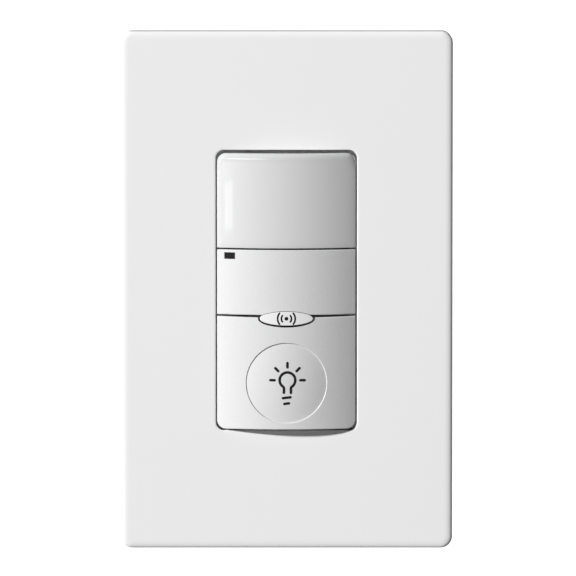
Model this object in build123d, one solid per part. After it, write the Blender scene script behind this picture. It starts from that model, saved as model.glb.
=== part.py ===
from build123d import *
import math
import os

# Motion sensor light switch for a single wall box, in millimetres.
# +Z is up and the face looks along -Y. The wall is the plane Y = 0.
# The origin is midway between the two box screws, on the wall.

# Wall plate
plate_width = 79.5
plate_height = 123.9
plate_depth = 6.5
plate_wall = 2.0
plate_side_wall = 1.8
plate_corner = 2.8
plate_edge_round = 1.6
plate_rise = 0.13
opening_width = 33.76
opening_height = 67.28
opening_corner = 2.0
opening_edge_round = 0.35
latch_width = 8.0
latch_thick = 1.2
latch_room = 0.2
latch_across = 20.0

# Curved face that lens, access cover and push panel share
face_width = 33.1
face_height = 66.1
face_radius = 48.0
face_stand_out = 9.6
face_edge_round = 0.25
upper_seam = 10.2
upper_seam_gap = 0.4
lower_seam = -5.75
lower_seam_gap = 0.3
seam_corner = 0.3
skirt_back = 2.3
seat_gap = 0.05

# Lens
lens_wall = 0.8
lens_corner = 2.1

# Access cover
cover_wall = 1.5
badge_width = 12.7
badge_height = 3.3
badge_level = -6.4
badge_proud = 0.2
badge_deep = 2.4
badge_fit = 0.14
window_width = 2.5
window_height = 1.5
window_across = -13.55
window_level = 8.55
window_fit = 0.04
window_foot = 4.2
window_foot_thick = 1.0

# Push panel
panel_wall = 1.6
panel_corner = 2.1
panel_bow = 0.3
badge_clearance = 0.5
finger_level = -21.9
finger_radius = 9.6
finger_rise = 0.15
finger_round_across = 36.0
finger_round_up = 100.0
finger_bevel = 0.12
hinge_level = -8.5
hinge_depth = -3.7
hinge_pin_radius = 0.8
hinge_running_fit = 0.05
hinge_press_fit = 0.01
hinge_pin_short = 0.4
hook_across = 8.0
hook_level = -28.6
hook_width = 3.0
hook_thick = 1.2
hook_barb = 0.7
hook_room = 0.5
hook_gap = 0.1
post_radius = 1.6
post_gap = 0.08

# Mounting strap
strap_thick = 1.3
strap_height = 104.8
strap_end_width = 38.0
strap_middle = 74.0
strap_corner = 3.0
strap_nose_room = 0.3
box_screw_spacing = 83.3
plate_screw_spacing = 96.8
slot_length = 7.0
slot_height = 3.8
ear_hole_radius = 2.2
ear_hole_across = 13.0
ear_hole_level = 46.5
tab_length = 8.4
tab_reach = 9.5
tab_level = -41.9

# Screws
thread_radius = 1.75
box_neck_radius = 1.5
box_head_radius = 3.2
box_head_height = 2.0
box_screw_length = 22.0
retainer_side = 7.6
retainer_thick = 0.4
retainer_fit = 0.05
retainer_play = 0.05
plate_head_radius = 2.75
plate_head_height = 1.7
plate_screw_length = 8.2
tapped_fit = 0.03
slot_cut_width = 1.0
slot_cut_depth = 0.9
ground_head_radius = 3.6
ground_head_height = 2.4
ground_shank_radius = 2.0
ground_shank_length = 5.5

# Plate subframe
frame_room = 0.5
frame_base = 1.5
frame_rim = 1.5
frame_front_gap = 0.3
frame_opening_room = 0.4
frame_boss_radius = 4.2
frame_boss_gap = 0.8
frame_screw_fit = 0.15
access_fit = 0.2

# Front housing
nose_room_across = 0.2
nose_room_up = 0.15
nose_front = 4.6
nose_wall = 1.3
nose_corner = 1.2
deck_front = 3.0
deck_thick = 1.4
flange_thick = 2.0
flange_room = 0.3
post_length = 2.4
board_post_radius = 1.9
board_post_inset = 5.0
board_post_level = 21.0
board_pilot_radius = 0.8

# Rear housing
rear_width = 44.0
rear_height = 70.0
rear_corner = 3.0
rear_wall = 2.0
rear_edge_round = 1.5
pillar_side = 6.4
pillar_inset = 4.0
pillar_end_inset = 4.4
power_post_radius = 2.6
power_post_across = 14.6
power_post_level = 20.0

# Housing screws
housing_screw_radius = 1.4
housing_screw_fit = 0.15
housing_head_radius = 2.7
housing_head_height = 2.0
housing_head_sink = 0.2
housing_screw_end = 2.0

# Boards
board_thick = 1.6
board_room = 0.6
notch_room = 0.3
tall_room = 16.4
solder_room = 4.0
board_screw_radius = 0.78
board_head_radius = 1.8
board_head_height = 1.2
board_screw_bite = 2.8
lead_fit = 0.08

# Infrared sensor and lens shroud
pir_level = 21.9
pir_radius = 4.15
pir_height = 4.5
pir_rim_radius = 4.6
pir_rim_height = 0.5
pir_window_width = 5.2
pir_window_height = 4.2
pir_window_thick = 0.5
pir_lead_radius = 0.22
pir_lead_circle = 2.54
pir_lead_length = 2.6
pir_lead_count = 3
pir_first_lead_turn = 90.0
shroud_width = 24.0
shroud_height = 14.0
shroud_floor_width = 20.0
shroud_floor_height = 11.6
shroud_wall = 0.8
shroud_flange = 1.1
shroud_fit = 0.1
shroud_floor_back = 1.2
pir_room = 0.25

# Light sensor and indicator light
photo_radius = 1.5
photo_across = 7.3
photo_height = 5.0
light_radius = 1.5
light_rim_radius = 1.8
light_rim_height = 1.0
light_body_length = 5.3
light_across = -11.4
light_gap = 0.3
light_leg_side = 0.5
light_leg_spacing = 2.54
bulb_room = 0.3

# Tactile switch
tact_side = 6.2
tact_height = 3.4
tact_wall = 0.6
tact_cover_thick = 0.3
tact_plunger_radius = 1.7
tact_plunger_tip = 2.15
tact_plunger_fit = 0.08
tact_foot_radius = 2.1
tact_foot_thick = 0.6
tact_dome_radius = 2.3
tact_dome_rise = 0.5
tact_dome_thick = 0.12

# Dials
dial_level = 1.9
time_dial_across = -9.4
range_dial_across = -2.0
trimmer_side = 6.4
trimmer_height = 4.0
trimmer_corner = 0.4
dial_radius = 2.5
dial_front = 2.6
dial_gap = 0.05
dial_pin_radius = 0.8
dial_pin_length = 2.0
dial_running_fit = 0.05
dial_slot_width = 0.7
dial_slot_length = 3.6
dial_slot_arm = 1.8
dial_slot_depth = 0.8
dial_hole_room = 0.4

# Mode switch
mode_across = 7.6
mode_count = 4
mode_pitch = 2.54
mode_end_wall = 0.42
mode_body_height = 6.6
mode_depth = 5.2
slider_width = 1.3
slider_height = 1.5
slider_stand = 1.2
slider_sunk = 1.4
slider_travel = 1.6
slider_room = 0.1
mode_hole_room = 0.2

# Header between the boards
header_across = 0.0
header_level = 29.0
header_count = 5
header_rows = 2
header_pitch = 2.54
header_pin_side = 0.64
header_block_height = 8.5
header_pin_tail = 1.2
header_fit = 0.03

# Controller chip
chip_width = 10.0
chip_height = 7.5
chip_thick = 1.8
chip_across = 2.0
chip_level = 4.0
chip_stand = 0.1
chip_leg_width = 0.4
chip_leg_pitch = 1.27
chip_leg_reach = 1.4
chip_leg_count = 7
chip_leg_thick = 0.2

# Relay
relay_level = -20.0
relay_width = 19.0
relay_height = 15.4
relay_base_thick = 1.6
relay_depth = 15.2
relay_case_wall = 0.7
coil_across = -1.2
core_radius = 2.2
bobbin_tube_radius = 2.9
bobbin_flange_radius = 4.6
bobbin_flange_thick = 0.8
bobbin_fit = 0.05
winding_radius = 4.2
winding_gap = 0.05
yoke_thick = 1.2
yoke_width = 8.0
yoke_across = -7.4
yoke_stand = 10.4
armature_thick = 1.0
armature_gap = 0.6
armature_pivot_gap = 0.1
armature_reach = 10.5
blade_thick = 0.3
blade_width = 3.0
blade_reach = 7.4
contact_radius = 1.1
contact_thick = 0.6
contact_across = 6.2
contact_gap = 0.95
contact_post_thick = 0.6
contact_post_width = 4.0
contact_tail_width = 1.2
relay_lead_length = 2.6

# Mains parts on the power board
film_width = 13.0
film_height = 6.0
film_depth = 12.0
film_corner = 0.5
film_across = 1.0
film_level = -6.5
can_radius = 4.0
can_height = 12.0
can_choke_gap = 0.2
can_level = 3.8
can_gap = 9.2
can_groove = 0.35
can_groove_at = 1.4
varistor_radius = 4.6
varistor_thick = 4.0
varistor_round = 1.0
varistor_offset = 0.2
varistor_level = 2.0
fuse_radius = 1.8
fuse_length = 11.0
fuse_cap_length = 2.4
fuse_can_gap = 0.1
fuse_level = 8.0
rectifier_width = 8.4
rectifier_height = 6.4
rectifier_thick = 3.2
rectifier_pocket_gap = 2.6
rectifier_level = 13.2
choke_radius = 3.6
choke_height = 9.0
choke_rectifier_gap = 0.2
choke_level = 15.0
choke_waist = 0.8
choke_flange = 1.5
part_stand = 0.3
part_lead_radius = 0.35
part_lead_length = 2.6

# Terminals in side pockets of the rear housing
terminal_level = 10.0
pocket_width = 11.0
pocket_front = 8.5
pocket_length = 12.0
pocket_depth = 6.4
pocket_wall = 1.2
terminal_plate_thick = 1.0
terminal_plate_room = 0.9
terminal_tail_width = 3.0
terminal_tail_fit = 0.15
clamp_side = 8.4
clamp_thick = 1.0
clamp_fit = 0.15
wire_gap = 1.0
terminal_head_radius = 3.9
terminal_head_height = 2.0
terminal_shank_radius = 2.0
terminal_shank_tip = 1.6

# Broken edges of screws, pins and small mouldings
edge_break = 0.5
fine_edge_break = 0.2

# Every cut runs this far past what it cuts, or less where little room is left.
overrun = 2.0
short_overrun = 0.5

# Depths along Y that several pieces share
crown_y = -face_stand_out
strap_front = -strap_thick
plate_front = -plate_depth
plate_inner = plate_front + plate_wall
frame_front = plate_inner + frame_front_gap
skirt_y = -skirt_back
nose_y = -nose_front
deck_y = -deck_front
deck_back = deck_y + deck_thick
sensor_board_y = flange_thick + post_length
sensor_board_back = sensor_board_y + board_thick
power_board_y = sensor_board_back + tall_room
power_board_back = power_board_y + board_thick
floor_y = power_board_back + solder_room
rear_y = floor_y + rear_wall

# Places that follow the rear housing's width and height
strap_width = rear_width
pillar_across = rear_width / 2 - pillar_inset
pillar_level = rear_height / 2 - pillar_end_inset
board_post_across = rear_width / 2 - board_post_inset
pocket_side = rear_width / 2 - pocket_depth - pocket_wall
rectifier_across = pocket_side - rectifier_pocket_gap - rectifier_width / 2
choke_across = rectifier_across - rectifier_width / 2 - choke_rectifier_gap - choke_radius
can_across = choke_across - choke_radius - can_choke_gap - can_radius
fuse_across = can_across + can_radius + fuse_can_gap + fuse_length / 2
varistor_across = rectifier_across - varistor_offset

# Half sizes and levels of the face and of the nose behind it
face_side = face_width / 2
face_end = face_height / 2
lens_bottom = upper_seam + upper_seam_gap / 2
cover_top = upper_seam - upper_seam_gap / 2
cover_bottom = lower_seam + lower_seam_gap / 2
panel_top = lower_seam - lower_seam_gap / 2
nose_side = face_side - panel_wall - nose_room_across
nose_end = face_end - panel_wall - nose_room_up
tub_side = nose_side - nose_wall
tub_end = nose_end - nose_wall


def slab(outline, back, front):
    """A sketch drawn in X and Z, made solid between two depths."""
    wall = Plane(origin=(0, back, 0), x_dir=(1, 0, 0), z_dir=(0, -1, 0))
    return extrude(wall * outline, amount=back - front)


def rod_y(radius, back, front, across=0.0, level=0.0):
    """A round rod along Y."""
    return slab(Pos(across, level) * Circle(radius), back, front)


def rod_x(radius, start, end, depth, level):
    """A round rod along X."""
    middle = Pos((start + end) / 2, depth, level)
    return middle * Rot(0, 90, 0) * Cylinder(radius, abs(end - start))


def drill_y(radius, back, front, across=0.0, level=0.0):
    """A round hole along Y, run past both its ends."""
    return rod_y(radius, back + overrun, front - overrun, across, level)


def drill_x(radius, start, end, depth, level):
    """A round hole along X, run past both its ends."""
    return rod_x(radius, start - overrun, end + overrun, depth, level)


def either_side(middle, size):
    """The two limits of a size centred on a place."""
    return middle - size / 2, middle + size / 2


def brick(across, depth, level):
    """A block given by its two limits on each axis."""
    size = [abs(high - low) for low, high in (across, depth, level)]
    middle = [(low + high) / 2 for low, high in (across, depth, level)]
    return Pos(*middle) * Box(*size)


def mirrored(solid):
    """A solid and its twin across the middle plane X = 0."""
    return [solid, mirror(solid, about=Plane.YZ)]


def upended(solid):
    """A solid and its twin below the middle plane Z = 0."""
    return [solid, mirror(solid, about=Plane.XY)]


def four_ways(solid):
    """A solid and its three twins across both middle planes."""
    return [twin for one in mirrored(solid) for twin in upended(one)]


def joined(solids):
    """Several touching or overlapping solids as one."""
    whole = solids[0]
    for solid in solids[1:]:
        whole = whole + solid
    return whole


def less(solid, cuts):
    """A solid with every cut taken out of it."""
    for cut in cuts:
        solid = solid - cut
    return solid


def save(name, solids):
    """Write one sub-part, a single solid or a group of separate ones."""
    if not isinstance(solids, list):
        solids = [solids]
    loose = [solid for group in solids for solid in group.solids()]
    export_step(Compound(children=loose), f"parts/{name}.step")


def tile_outline(bottom, top, bottom_corner, top_corner):
    """One piece of the face seen from the front, with its own corner radii."""
    height = top - bottom
    outline = Pos(0, (top + bottom) / 2) * Rectangle(face_width, height)
    outline = fillet(outline.vertices().sort_by(Axis.Y)[:2], radius=bottom_corner)
    return fillet(outline.vertices().sort_by(Axis.Y)[-2:], radius=top_corner)


def bulged(outline, back, inset=0.0):
    """A sketch made solid from a depth up to the curved face, or to a surface below it."""
    block = slab(outline, back, crown_y - overrun)
    drum_length = face_height + overrun
    drum = Pos(0, crown_y + face_radius, 0) * Cylinder(face_radius - inset, drum_length)
    return block & drum


def rounded_front(solid, radius):
    """Round the edges of a piece where its front meets its sides."""
    front = solid.faces().filter_by(GeomType.CYLINDER).sort_by(SortBy.AREA)[-1]
    return fillet(front.edges(), radius=radius)


def seam_wall_cut(level, wall, back_limit):
    """Shortens the wall along a seam, so that it stops in front of the nose."""
    strip = Pos(0, level) * Rectangle(face_width - 2 * wall, 2 * (wall + seam_corner))
    return slab(strip, skirt_y + overrun, back_limit)


def plate_cover():
    """Screwless wall plate: a shallow tray with one opening and six latch legs."""
    middle = Pos(0, plate_rise)
    outer = slab(middle * RectangleRounded(plate_width, plate_height, plate_corner), 0, plate_front)
    rim = outer.faces().sort_by(Axis.Y)[0].edges()
    outer = fillet(rim, radius=plate_edge_round)
    inner_width = plate_width - 2 * plate_side_wall
    inner_height = plate_height - 2 * plate_side_wall
    inner_corner = plate_corner - plate_side_wall
    hollow = slab(middle * RectangleRounded(inner_width, inner_height, inner_corner), overrun, plate_inner)
    opening = middle * RectangleRounded(opening_width, opening_height, opening_corner)
    body = outer - hollow - slab(opening, overrun, plate_front - overrun)
    throat = body.faces().sort_by(Axis.Y)[0].inner_wires()[0].edges()
    body = fillet(throat, radius=opening_edge_round)
    legs = [latch_leg(place) for place in latch_places(1.0)]
    return joined([body] + legs)


def latch_places(spread):
    """Where the six latches are: (across, level, width, height), a spread wider than a leg."""
    side = frame_side() - latch_thick / 2
    end = frame_end() - latch_thick / 2
    along = latch_width * spread
    places = [(x, z, along, latch_thick) for x in (-latch_across, latch_across) for z in (-end, end)]
    return places + [(x, 0.0, latch_thick, along) for x in (-side, side)]


def latch_leg(place):
    """A leg of the wall plate that grips the subframe's edge."""
    across, level, width, height = place
    outline = Pos(across, level) * Rectangle(width, height)
    return slab(outline, strap_front - latch_room, plate_inner - plate_wall / 2)


def frame_side():
    """Half the subframe's width."""
    return plate_width / 2 - plate_side_wall - frame_room


def frame_end():
    """Half the subframe's height."""
    return plate_height / 2 - plate_side_wall - frame_room


def plate_subframe():
    """Ribbed frame on the strap that the wall plate snaps over."""
    outer = Rectangle(2 * frame_side(), 2 * frame_end())
    inner = Rectangle(2 * frame_side() - 2 * frame_rim, 2 * frame_end() - 2 * frame_rim)
    opening_room = 2 * frame_opening_room
    opening = Rectangle(face_width + opening_room, face_height + opening_room)
    collar = Rectangle(face_width + opening_room + 2 * frame_rim, face_height + opening_room + 2 * frame_rim)
    base = slab(outer - opening, strap_front, strap_front - frame_base)
    rims = [slab(outer - inner, strap_front, frame_front), slab(collar - opening, strap_front, frame_front)]
    screw_level = plate_screw_spacing / 2
    boss_front = frame_front + frame_boss_gap
    boss = rod_y(frame_boss_radius, strap_front, boss_front, 0, screw_level)
    body = joined([base] + rims + upended(boss))
    head_top = boss_front - seat_gap
    sink = countersink(head_top, frame_screw_fit)
    hole = rod_y(thread_radius + frame_screw_fit, strap_front + overrun, boss_front - overrun)
    screw_cut = Pos(0, 0, screw_level) * (sink + hole)
    access = rod_y(box_head_radius + access_fit, strap_front + overrun, frame_front - overrun)
    access_cut = Pos(0, 0, box_screw_spacing / 2) * access
    notches = [latch_notch(place) for place in latch_places(1.0)]
    return less(body, upended(screw_cut) + upended(access_cut) + notches)


def countersink(top, grown):
    """A cone as wide as a plate screw's head, its wide end towards the front."""
    cone = Cone(thread_radius + grown, plate_head_radius + grown, plate_head_height)
    return Pos(0, top + plate_head_height / 2, 0) * Rot(90, 0, 0) * cone


def latch_notch(place):
    """The room in the subframe's edge for one latch leg."""
    across, level, width, height = place
    outline = Pos(across, level) * Rectangle(width + 2 * latch_room, height + 2 * latch_room)
    return slab(outline, strap_front + overrun, frame_front - overrun)


def screw_slot(top, radius):
    """The straight driver slot across a screw's head, which faces the front."""
    return slab(Rectangle(2 * radius + overrun, slot_cut_width), top + slot_cut_depth, top - overrun)


def plate_screws():
    """Flat-head screws that hold the subframe to the strap."""
    top = frame_front + frame_boss_gap
    body = countersink(top, 0.0) + rod_y(thread_radius, top + plate_screw_length, top)
    screw = body - screw_slot(top, plate_head_radius)
    return upended(Pos(0, 0, plate_screw_spacing / 2) * screw)


def box_screws():
    """Captive screws that hold the switch to the wall box."""
    top = strap_front - box_head_height
    head = rod_y(box_head_radius, strap_front, top)
    head = fillet(head.edges().sort_by(Axis.Y)[0], radius=box_head_height / 2)
    neck_end = retainer_thick + retainer_play
    neck = rod_y(box_neck_radius, neck_end, strap_front)
    shank = rod_y(thread_radius, box_screw_length, neck_end)
    shank = chamfer(shank.edges().sort_by(Axis.Y)[-1], length=edge_break)
    screw = joined([head, neck, shank]) - screw_slot(top, box_head_radius)
    return upended(Pos(0, 0, box_screw_spacing / 2) * screw)


def screw_retainers():
    """Fibre squares that keep the box screws in the strap."""
    square = Rectangle(retainer_side, retainer_side) - Circle(box_neck_radius + retainer_fit)
    return upended(Pos(0, 0, box_screw_spacing / 2) * slab(square, retainer_thick, 0))


def mounting_strap():
    """Stamped steel yoke with slots for the box screws and a folded ground tab."""
    ends = RectangleRounded(strap_end_width, strap_height, strap_corner)
    middle = RectangleRounded(strap_width, strap_middle, strap_corner)
    room = 2 * strap_nose_room
    opening = RectangleRounded(2 * nose_side + room, 2 * nose_end + room, nose_corner)
    sheet = slab(ends + middle - opening, 0, strap_front)
    slot = Pos(0, box_screw_spacing / 2) * SlotOverall(slot_length, slot_height)
    tapped = Pos(0, plate_screw_spacing / 2) * Circle(thread_radius + tapped_fit)
    ear = Pos(ear_hole_across, ear_hole_level) * Circle(ear_hole_radius)
    corner = Pos(pillar_across, pillar_level) * Circle(housing_screw_radius + tapped_fit)
    cuts = upended(hole_cut(slot)) + upended(hole_cut(tapped))
    cuts += four_ways(hole_cut(ear)) + four_ways(hole_cut(corner))
    body = less(sheet, cuts)
    edge = -strap_end_width / 2
    level = either_side(tab_level, tab_length)
    tab = brick((edge - strap_thick, edge), (strap_front, tab_reach), level)
    bridge = brick((edge - strap_thick, edge + strap_thick), (strap_front, 0), level)
    hole = drill_x(ground_shank_radius + tapped_fit, edge - strap_thick, edge, ground_depth(), tab_level)
    return less(joined([body, tab, bridge]), [hole])


def hole_cut(outline):
    """A sketched hole carried right through the strap."""
    return slab(outline, overrun, strap_front - overrun)


def ground_depth():
    """How far behind the wall plane the ground screw sits."""
    return tab_reach / 2


def ground_screw():
    """Screw on the folded tab for the earth wire."""
    face = -strap_end_width / 2 - strap_thick
    head = rod_x(ground_head_radius, face - ground_head_height, face, ground_depth(), tab_level)
    head = chamfer(head.edges().sort_by(Axis.X)[0], length=edge_break)
    shank = rod_x(ground_shank_radius, face, face + ground_shank_length, ground_depth(), tab_level)
    top = face - ground_head_height
    along = either_side(ground_depth(), 2 * ground_head_radius + overrun)
    cut = brick((top - overrun, top + slot_cut_depth), along, either_side(tab_level, slot_cut_width))
    return head + shank - cut


def shroud_outline(width, height, level=pir_level):
    """A rectangle centred on the infrared sensor."""
    return Pos(0, level) * Rectangle(width, height)


def front_housing():
    """Flange behind the strap, and the nose through it that carries the face pieces."""
    flange_width = rear_width - 2 * flange_room
    flange_height = rear_height - 2 * flange_room
    flange = slab(RectangleRounded(flange_width, flange_height, rear_corner), flange_thick, 0)
    nose = slab(RectangleRounded(2 * nose_side, 2 * nose_end, nose_corner), 0, nose_y)
    tub = Rectangle(2 * tub_side, 2 * tub_end)
    body = flange + nose - slab(tub, flange_thick + overrun, deck_back) - slab(tub, deck_y, nose_y - overrun)
    post = rod_y(board_post_radius, sensor_board_y, flange_thick, board_post_across, board_post_level)
    body = joined([body] + four_ways(post))
    return less(body, deck_cuts() + flange_cuts())


def deck_cuts():
    """Openings in the deck for the sensor, the indicator, the dials, the switch and the hooks."""
    pass_through = []
    room = 2 * shroud_fit
    outlines = [
        shroud_outline(shroud_width + room, shroud_height + room),
        Pos(light_across, window_level) * Circle(light_radius + bulb_room),
        Pos(time_dial_across, dial_level) * Circle(dial_radius + dial_hole_room),
        Pos(range_dial_across, dial_level) * Circle(dial_radius + dial_hole_room),
        Pos(mode_across, dial_level) * Rectangle(mode_width() + 2 * mode_hole_room,
                                                 mode_body_height + 2 * mode_hole_room),
        Pos(0, finger_level) * Circle(tact_plunger_radius + 2 * hook_room),
    ]
    for side in (-hook_across, hook_across):
        height = hook_thick + hook_barb + 2 * hook_room
        level = hook_level - hook_barb / 2
        outlines.append(Pos(side, level) * Rectangle(hook_width + 2 * hook_room, height))
    for outline in outlines:
        pass_through.append(slab(outline, deck_back + overrun / 2, deck_y - overrun / 2))
    return pass_through


def flange_cuts():
    """Holes for the housing screws, the board screws and the hinge pins."""
    clear = drill_y(housing_screw_radius + tapped_fit, flange_thick, 0, pillar_across, pillar_level)
    pilot_end = sensor_board_y - board_screw_bite
    pilot = rod_y(board_pilot_radius, sensor_board_y + overrun, pilot_end)
    pilot = Pos(board_post_across, 0, board_post_level) * pilot
    pin = drill_x(hinge_pin_radius + hinge_press_fit, tub_side, nose_side, hinge_depth, hinge_level)
    return four_ways(clear) + four_ways(pilot) + mirrored(pin)


def hinge_pins():
    """Steel pins in the nose's sides that the push panel tilts on."""
    start = tub_side
    end = face_side - hinge_pin_short
    pin = rod_x(hinge_pin_radius, start, end, hinge_depth, hinge_level)
    pin = chamfer(pin.edges().sort_by(Axis.X)[-1], length=fine_edge_break)
    return mirrored(pin)


def fresnel_lens():
    """Milky sensor window: a thin curved shell that caps the top of the nose."""
    outline = tile_outline(lens_bottom, face_end, seam_corner, lens_corner)
    outer = rounded_front(bulged(outline, skirt_y), face_edge_round)
    inner = bulged(offset(outline, amount=-lens_wall), skirt_y + overrun, lens_wall)
    seat = nose_y - seat_gap
    body = outer - inner - seam_wall_cut(lens_bottom, lens_wall, seat)
    pad_level = (lens_bottom, lens_bottom + lens_wall + seam_corner)
    return body - brick((-tub_side, tub_side), (seat, skirt_y + overrun), pad_level)


def access_cover():
    """Middle face piece, which pulls off and takes the status window and the badge."""
    outline = tile_outline(cover_bottom, cover_top, seam_corner, seam_corner)
    outer = rounded_front(bulged(outline, skirt_y), face_edge_round)
    inner = bulged(offset(outline, amount=-cover_wall), skirt_y + overrun, cover_wall)
    seat = nose_y - seat_gap
    cuts = [seam_wall_cut(level, cover_wall, seat) for level in (cover_bottom, cover_top)]
    bite = badge_outline(badge_fit)
    cuts.append(slab(bite, crown_y + badge_deep, crown_y - overrun))
    hole = Rectangle(window_width + 2 * window_fit, window_height + 2 * window_fit)
    cuts.append(slab(Pos(window_across, window_level) * hole, nose_y + overrun, crown_y - overrun))
    cuts.append(slab(window_foot_outline(window_fit), nose_y + overrun, window_foot_front() - window_fit))
    return less(outer - inner, cuts)


def window_foot_outline(grown=0.0):
    """The status window's foot seen from the front, or a larger one around it."""
    middle = window_across - window_width / 2 + window_foot / 2
    outline = Rectangle(window_foot + 2 * grown, window_height + 2 * grown)
    return Pos(middle, window_level) * outline


def window_foot_front():
    """Depth of the front of the status window's foot."""
    return nose_y - seat_gap - window_foot_thick


def badge_outline(grown=0.0):
    """The badge's oval, or a larger one around it."""
    return Pos(0, badge_level) * Ellipse(badge_width / 2 + grown, badge_height / 2 + grown)


def oval_badge():
    """Oval insert at the cover's lower edge, which a fingertip catches to pull the cover off."""
    body = bulged(badge_outline(), crown_y + badge_deep, -badge_proud)
    return rounded_front(body, badge_proud / 2)


def led_window():
    """Smoked window in the cover, with a foot that gathers the indicator's light."""
    front = window_foot_front()
    plug = bulged(Pos(window_across, window_level) * Rectangle(window_width, window_height), front)
    return plug + slab(window_foot_outline(), front + window_foot_thick, front)


def push_panel():
    """Lower face piece with its domed finger area, contact post and two hooks."""
    outline = tile_outline(-face_end, panel_top, panel_corner, seam_corner)
    outer = bulged(outline - panel_bow_cut(), skirt_y)
    outer = rounded_front(outer, face_edge_round)
    disc = Pos(0, finger_level) * Circle(finger_radius)
    outer = outer - slab(disc, crown_y + panel_wall, crown_y - overrun)
    outer = chamfer(finger_rim(outer), length=finger_bevel)
    inner_outline = offset(tile_outline(-face_end, panel_top, panel_corner, seam_corner), amount=-panel_wall)
    inner = bulged(inner_outline, skirt_y + overrun, panel_wall)
    shell = outer - inner - seam_wall_cut(panel_top, panel_wall, nose_y - frame_front_gap)
    shell = joined([shell, finger_dome(), contact_post()] + mirrored(hook_leg()))
    badge_room_back = crown_y + badge_deep + badge_clearance
    shell = shell - slab(badge_outline(badge_clearance), badge_room_back, crown_y - overrun)
    bore = drill_x(hinge_pin_radius + hinge_running_fit, face_side, face_side, hinge_depth, hinge_level)
    return less(shell, mirrored(bore))


def panel_bow_cut():
    """The sliver that makes the panel's upper edge dip towards the badge."""
    reach = face_side + overrun
    lid_level = panel_top + overrun
    dip = ThreePointArc((-reach, panel_top), (0, panel_top - panel_bow), (reach, panel_top))
    lid = Polyline((reach, panel_top), (reach, lid_level), (-reach, lid_level), (-reach, panel_top))
    return make_face(Curve() + [dip, lid])


def finger_rim(solid):
    """The edges around the finger area where its wall meets the curved face."""
    picked = []
    for edge in solid.edges().filter_by(lambda e: e.geom_type != GeomType.LINE):
        box = edge.bounding_box()
        wide = abs(box.max.X - box.min.X)
        if box.min.Y < crown_y + panel_wall / 2 and wide > finger_radius and inside_finger(box):
            picked.append(edge)
    return picked


def inside_finger(box):
    """Whether a box lies within the finger area, seen from the front."""
    slack = face_edge_round / 2
    low = finger_level - finger_radius - slack
    high = finger_level + finger_radius + slack
    return box.min.Z > low and box.max.Z < high and box.max.X < finger_radius + slack


def finger_dome():
    """The low pillow inside the finger area, rounder across than up and down."""
    top = crown_y - finger_rise
    half = finger_radius + overrun
    sag = finger_round_up - math.sqrt(finger_round_up**2 - half**2)
    axis_y = top + finger_round_across
    low, high = either_side(finger_level, 2 * half)
    arc = ThreePointArc((top + sag, low), (top, finger_level), (top + sag, high))
    sides = Polyline((top + sag, high), (axis_y, high), (axis_y, low), (top + sag, low))
    profile = make_face(Curve() + [arc, sides])
    upright = Plane(origin=(0, 0, 0), x_dir=(0, 1, 0), z_dir=(1, 0, 0))
    barrel = revolve(upright * profile, axis=Axis((0, axis_y, 0), (0, 0, 1)), revolution_arc=360)
    disc = Pos(0, finger_level) * Circle(finger_radius)
    return slab(disc, crown_y + 2 * panel_wall, crown_y - overrun) & barrel


def contact_post():
    """The round post behind the finger area that meets the switch's plunger."""
    tip = -tact_plunger_tip - post_gap
    return rod_y(post_radius, tip, crown_y + panel_wall, 0, finger_level)


def hook_leg():
    """A leg through the deck whose barb holds the panel at rest."""
    low, high = either_side(hook_level, hook_thick)
    sides = either_side(hook_across, hook_width)
    inside = crown_y + panel_wall + face_sag(hook_across - hook_width / 2)
    barb_front = deck_back + hook_gap
    barb_back = barb_front + hook_thick
    leg = brick(sides, (inside - panel_wall / 2, barb_back), (low, high))
    barb = brick(sides, (barb_front, barb_back), (low - hook_barb, high))
    return leg + barb


def face_sag(across):
    """How far the curved face falls back at a distance from its middle."""
    return face_radius - math.sqrt(face_radius**2 - across**2)


def rear_housing():
    """Deep box behind the strap with corner pillars, board posts and terminal pockets."""
    shell = slab(RectangleRounded(rear_width, rear_height, rear_corner), rear_y, flange_thick)
    shell = fillet(shell.faces().sort_by(Axis.Y)[-1].edges(), radius=rear_edge_round)
    inner_width = rear_width - 2 * rear_wall
    inner_height = rear_height - 2 * rear_wall
    cavity = RectangleRounded(inner_width, inner_height, rear_corner - rear_wall)
    body = shell - slab(cavity, floor_y, flange_thick - overrun)
    corner = Pos(pillar_across, pillar_level) * Rectangle(pillar_side, pillar_side)
    room = RectangleRounded(rear_width - rear_wall, rear_height - rear_wall, rear_corner - rear_wall / 2)
    pillar = slab(corner & room, floor_y + rear_wall / 2, flange_thick)
    post = rod_y(power_post_radius, floor_y + rear_wall / 2, power_board_back)
    body = joined([body] + four_ways(pillar) + four_ways(Pos(power_post_across, 0, power_post_level) * post))
    for side, level in terminal_places():
        body = body + side_way(pocket_block(), side, level)
    for side, level in terminal_places():
        body = body - side_way(pocket_cut(), side, level)
    shank = drill_y(housing_screw_radius + housing_screw_fit, rear_y, flange_thick)
    well_front = rear_y - housing_head_sink - housing_head_height
    well = rod_y(housing_head_radius + housing_screw_fit, rear_y + overrun, well_front)
    pilot = rod_y(board_pilot_radius, power_board_back + board_screw_bite, power_board_y)
    screw_cuts = four_ways(Pos(pillar_across, 0, pillar_level) * (shank + well))
    return less(body, screw_cuts + four_ways(Pos(power_post_across, 0, power_post_level) * pilot))


def terminal_places():
    """The side (1 or -1) and level of the line, load and neutral terminals."""
    return [(1, terminal_level), (1, -terminal_level), (-1, -terminal_level)]


def side_way(solid, side, level):
    """A piece drawn for the right-hand side, put at a side and a level."""
    if side < 0:
        solid = mirror(solid, about=Plane.YZ)
    return Pos(0, 0, level) * solid


def pocket_floor():
    """Distance from the middle plane to the floor of a terminal pocket."""
    return rear_width / 2 - pocket_depth


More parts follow.
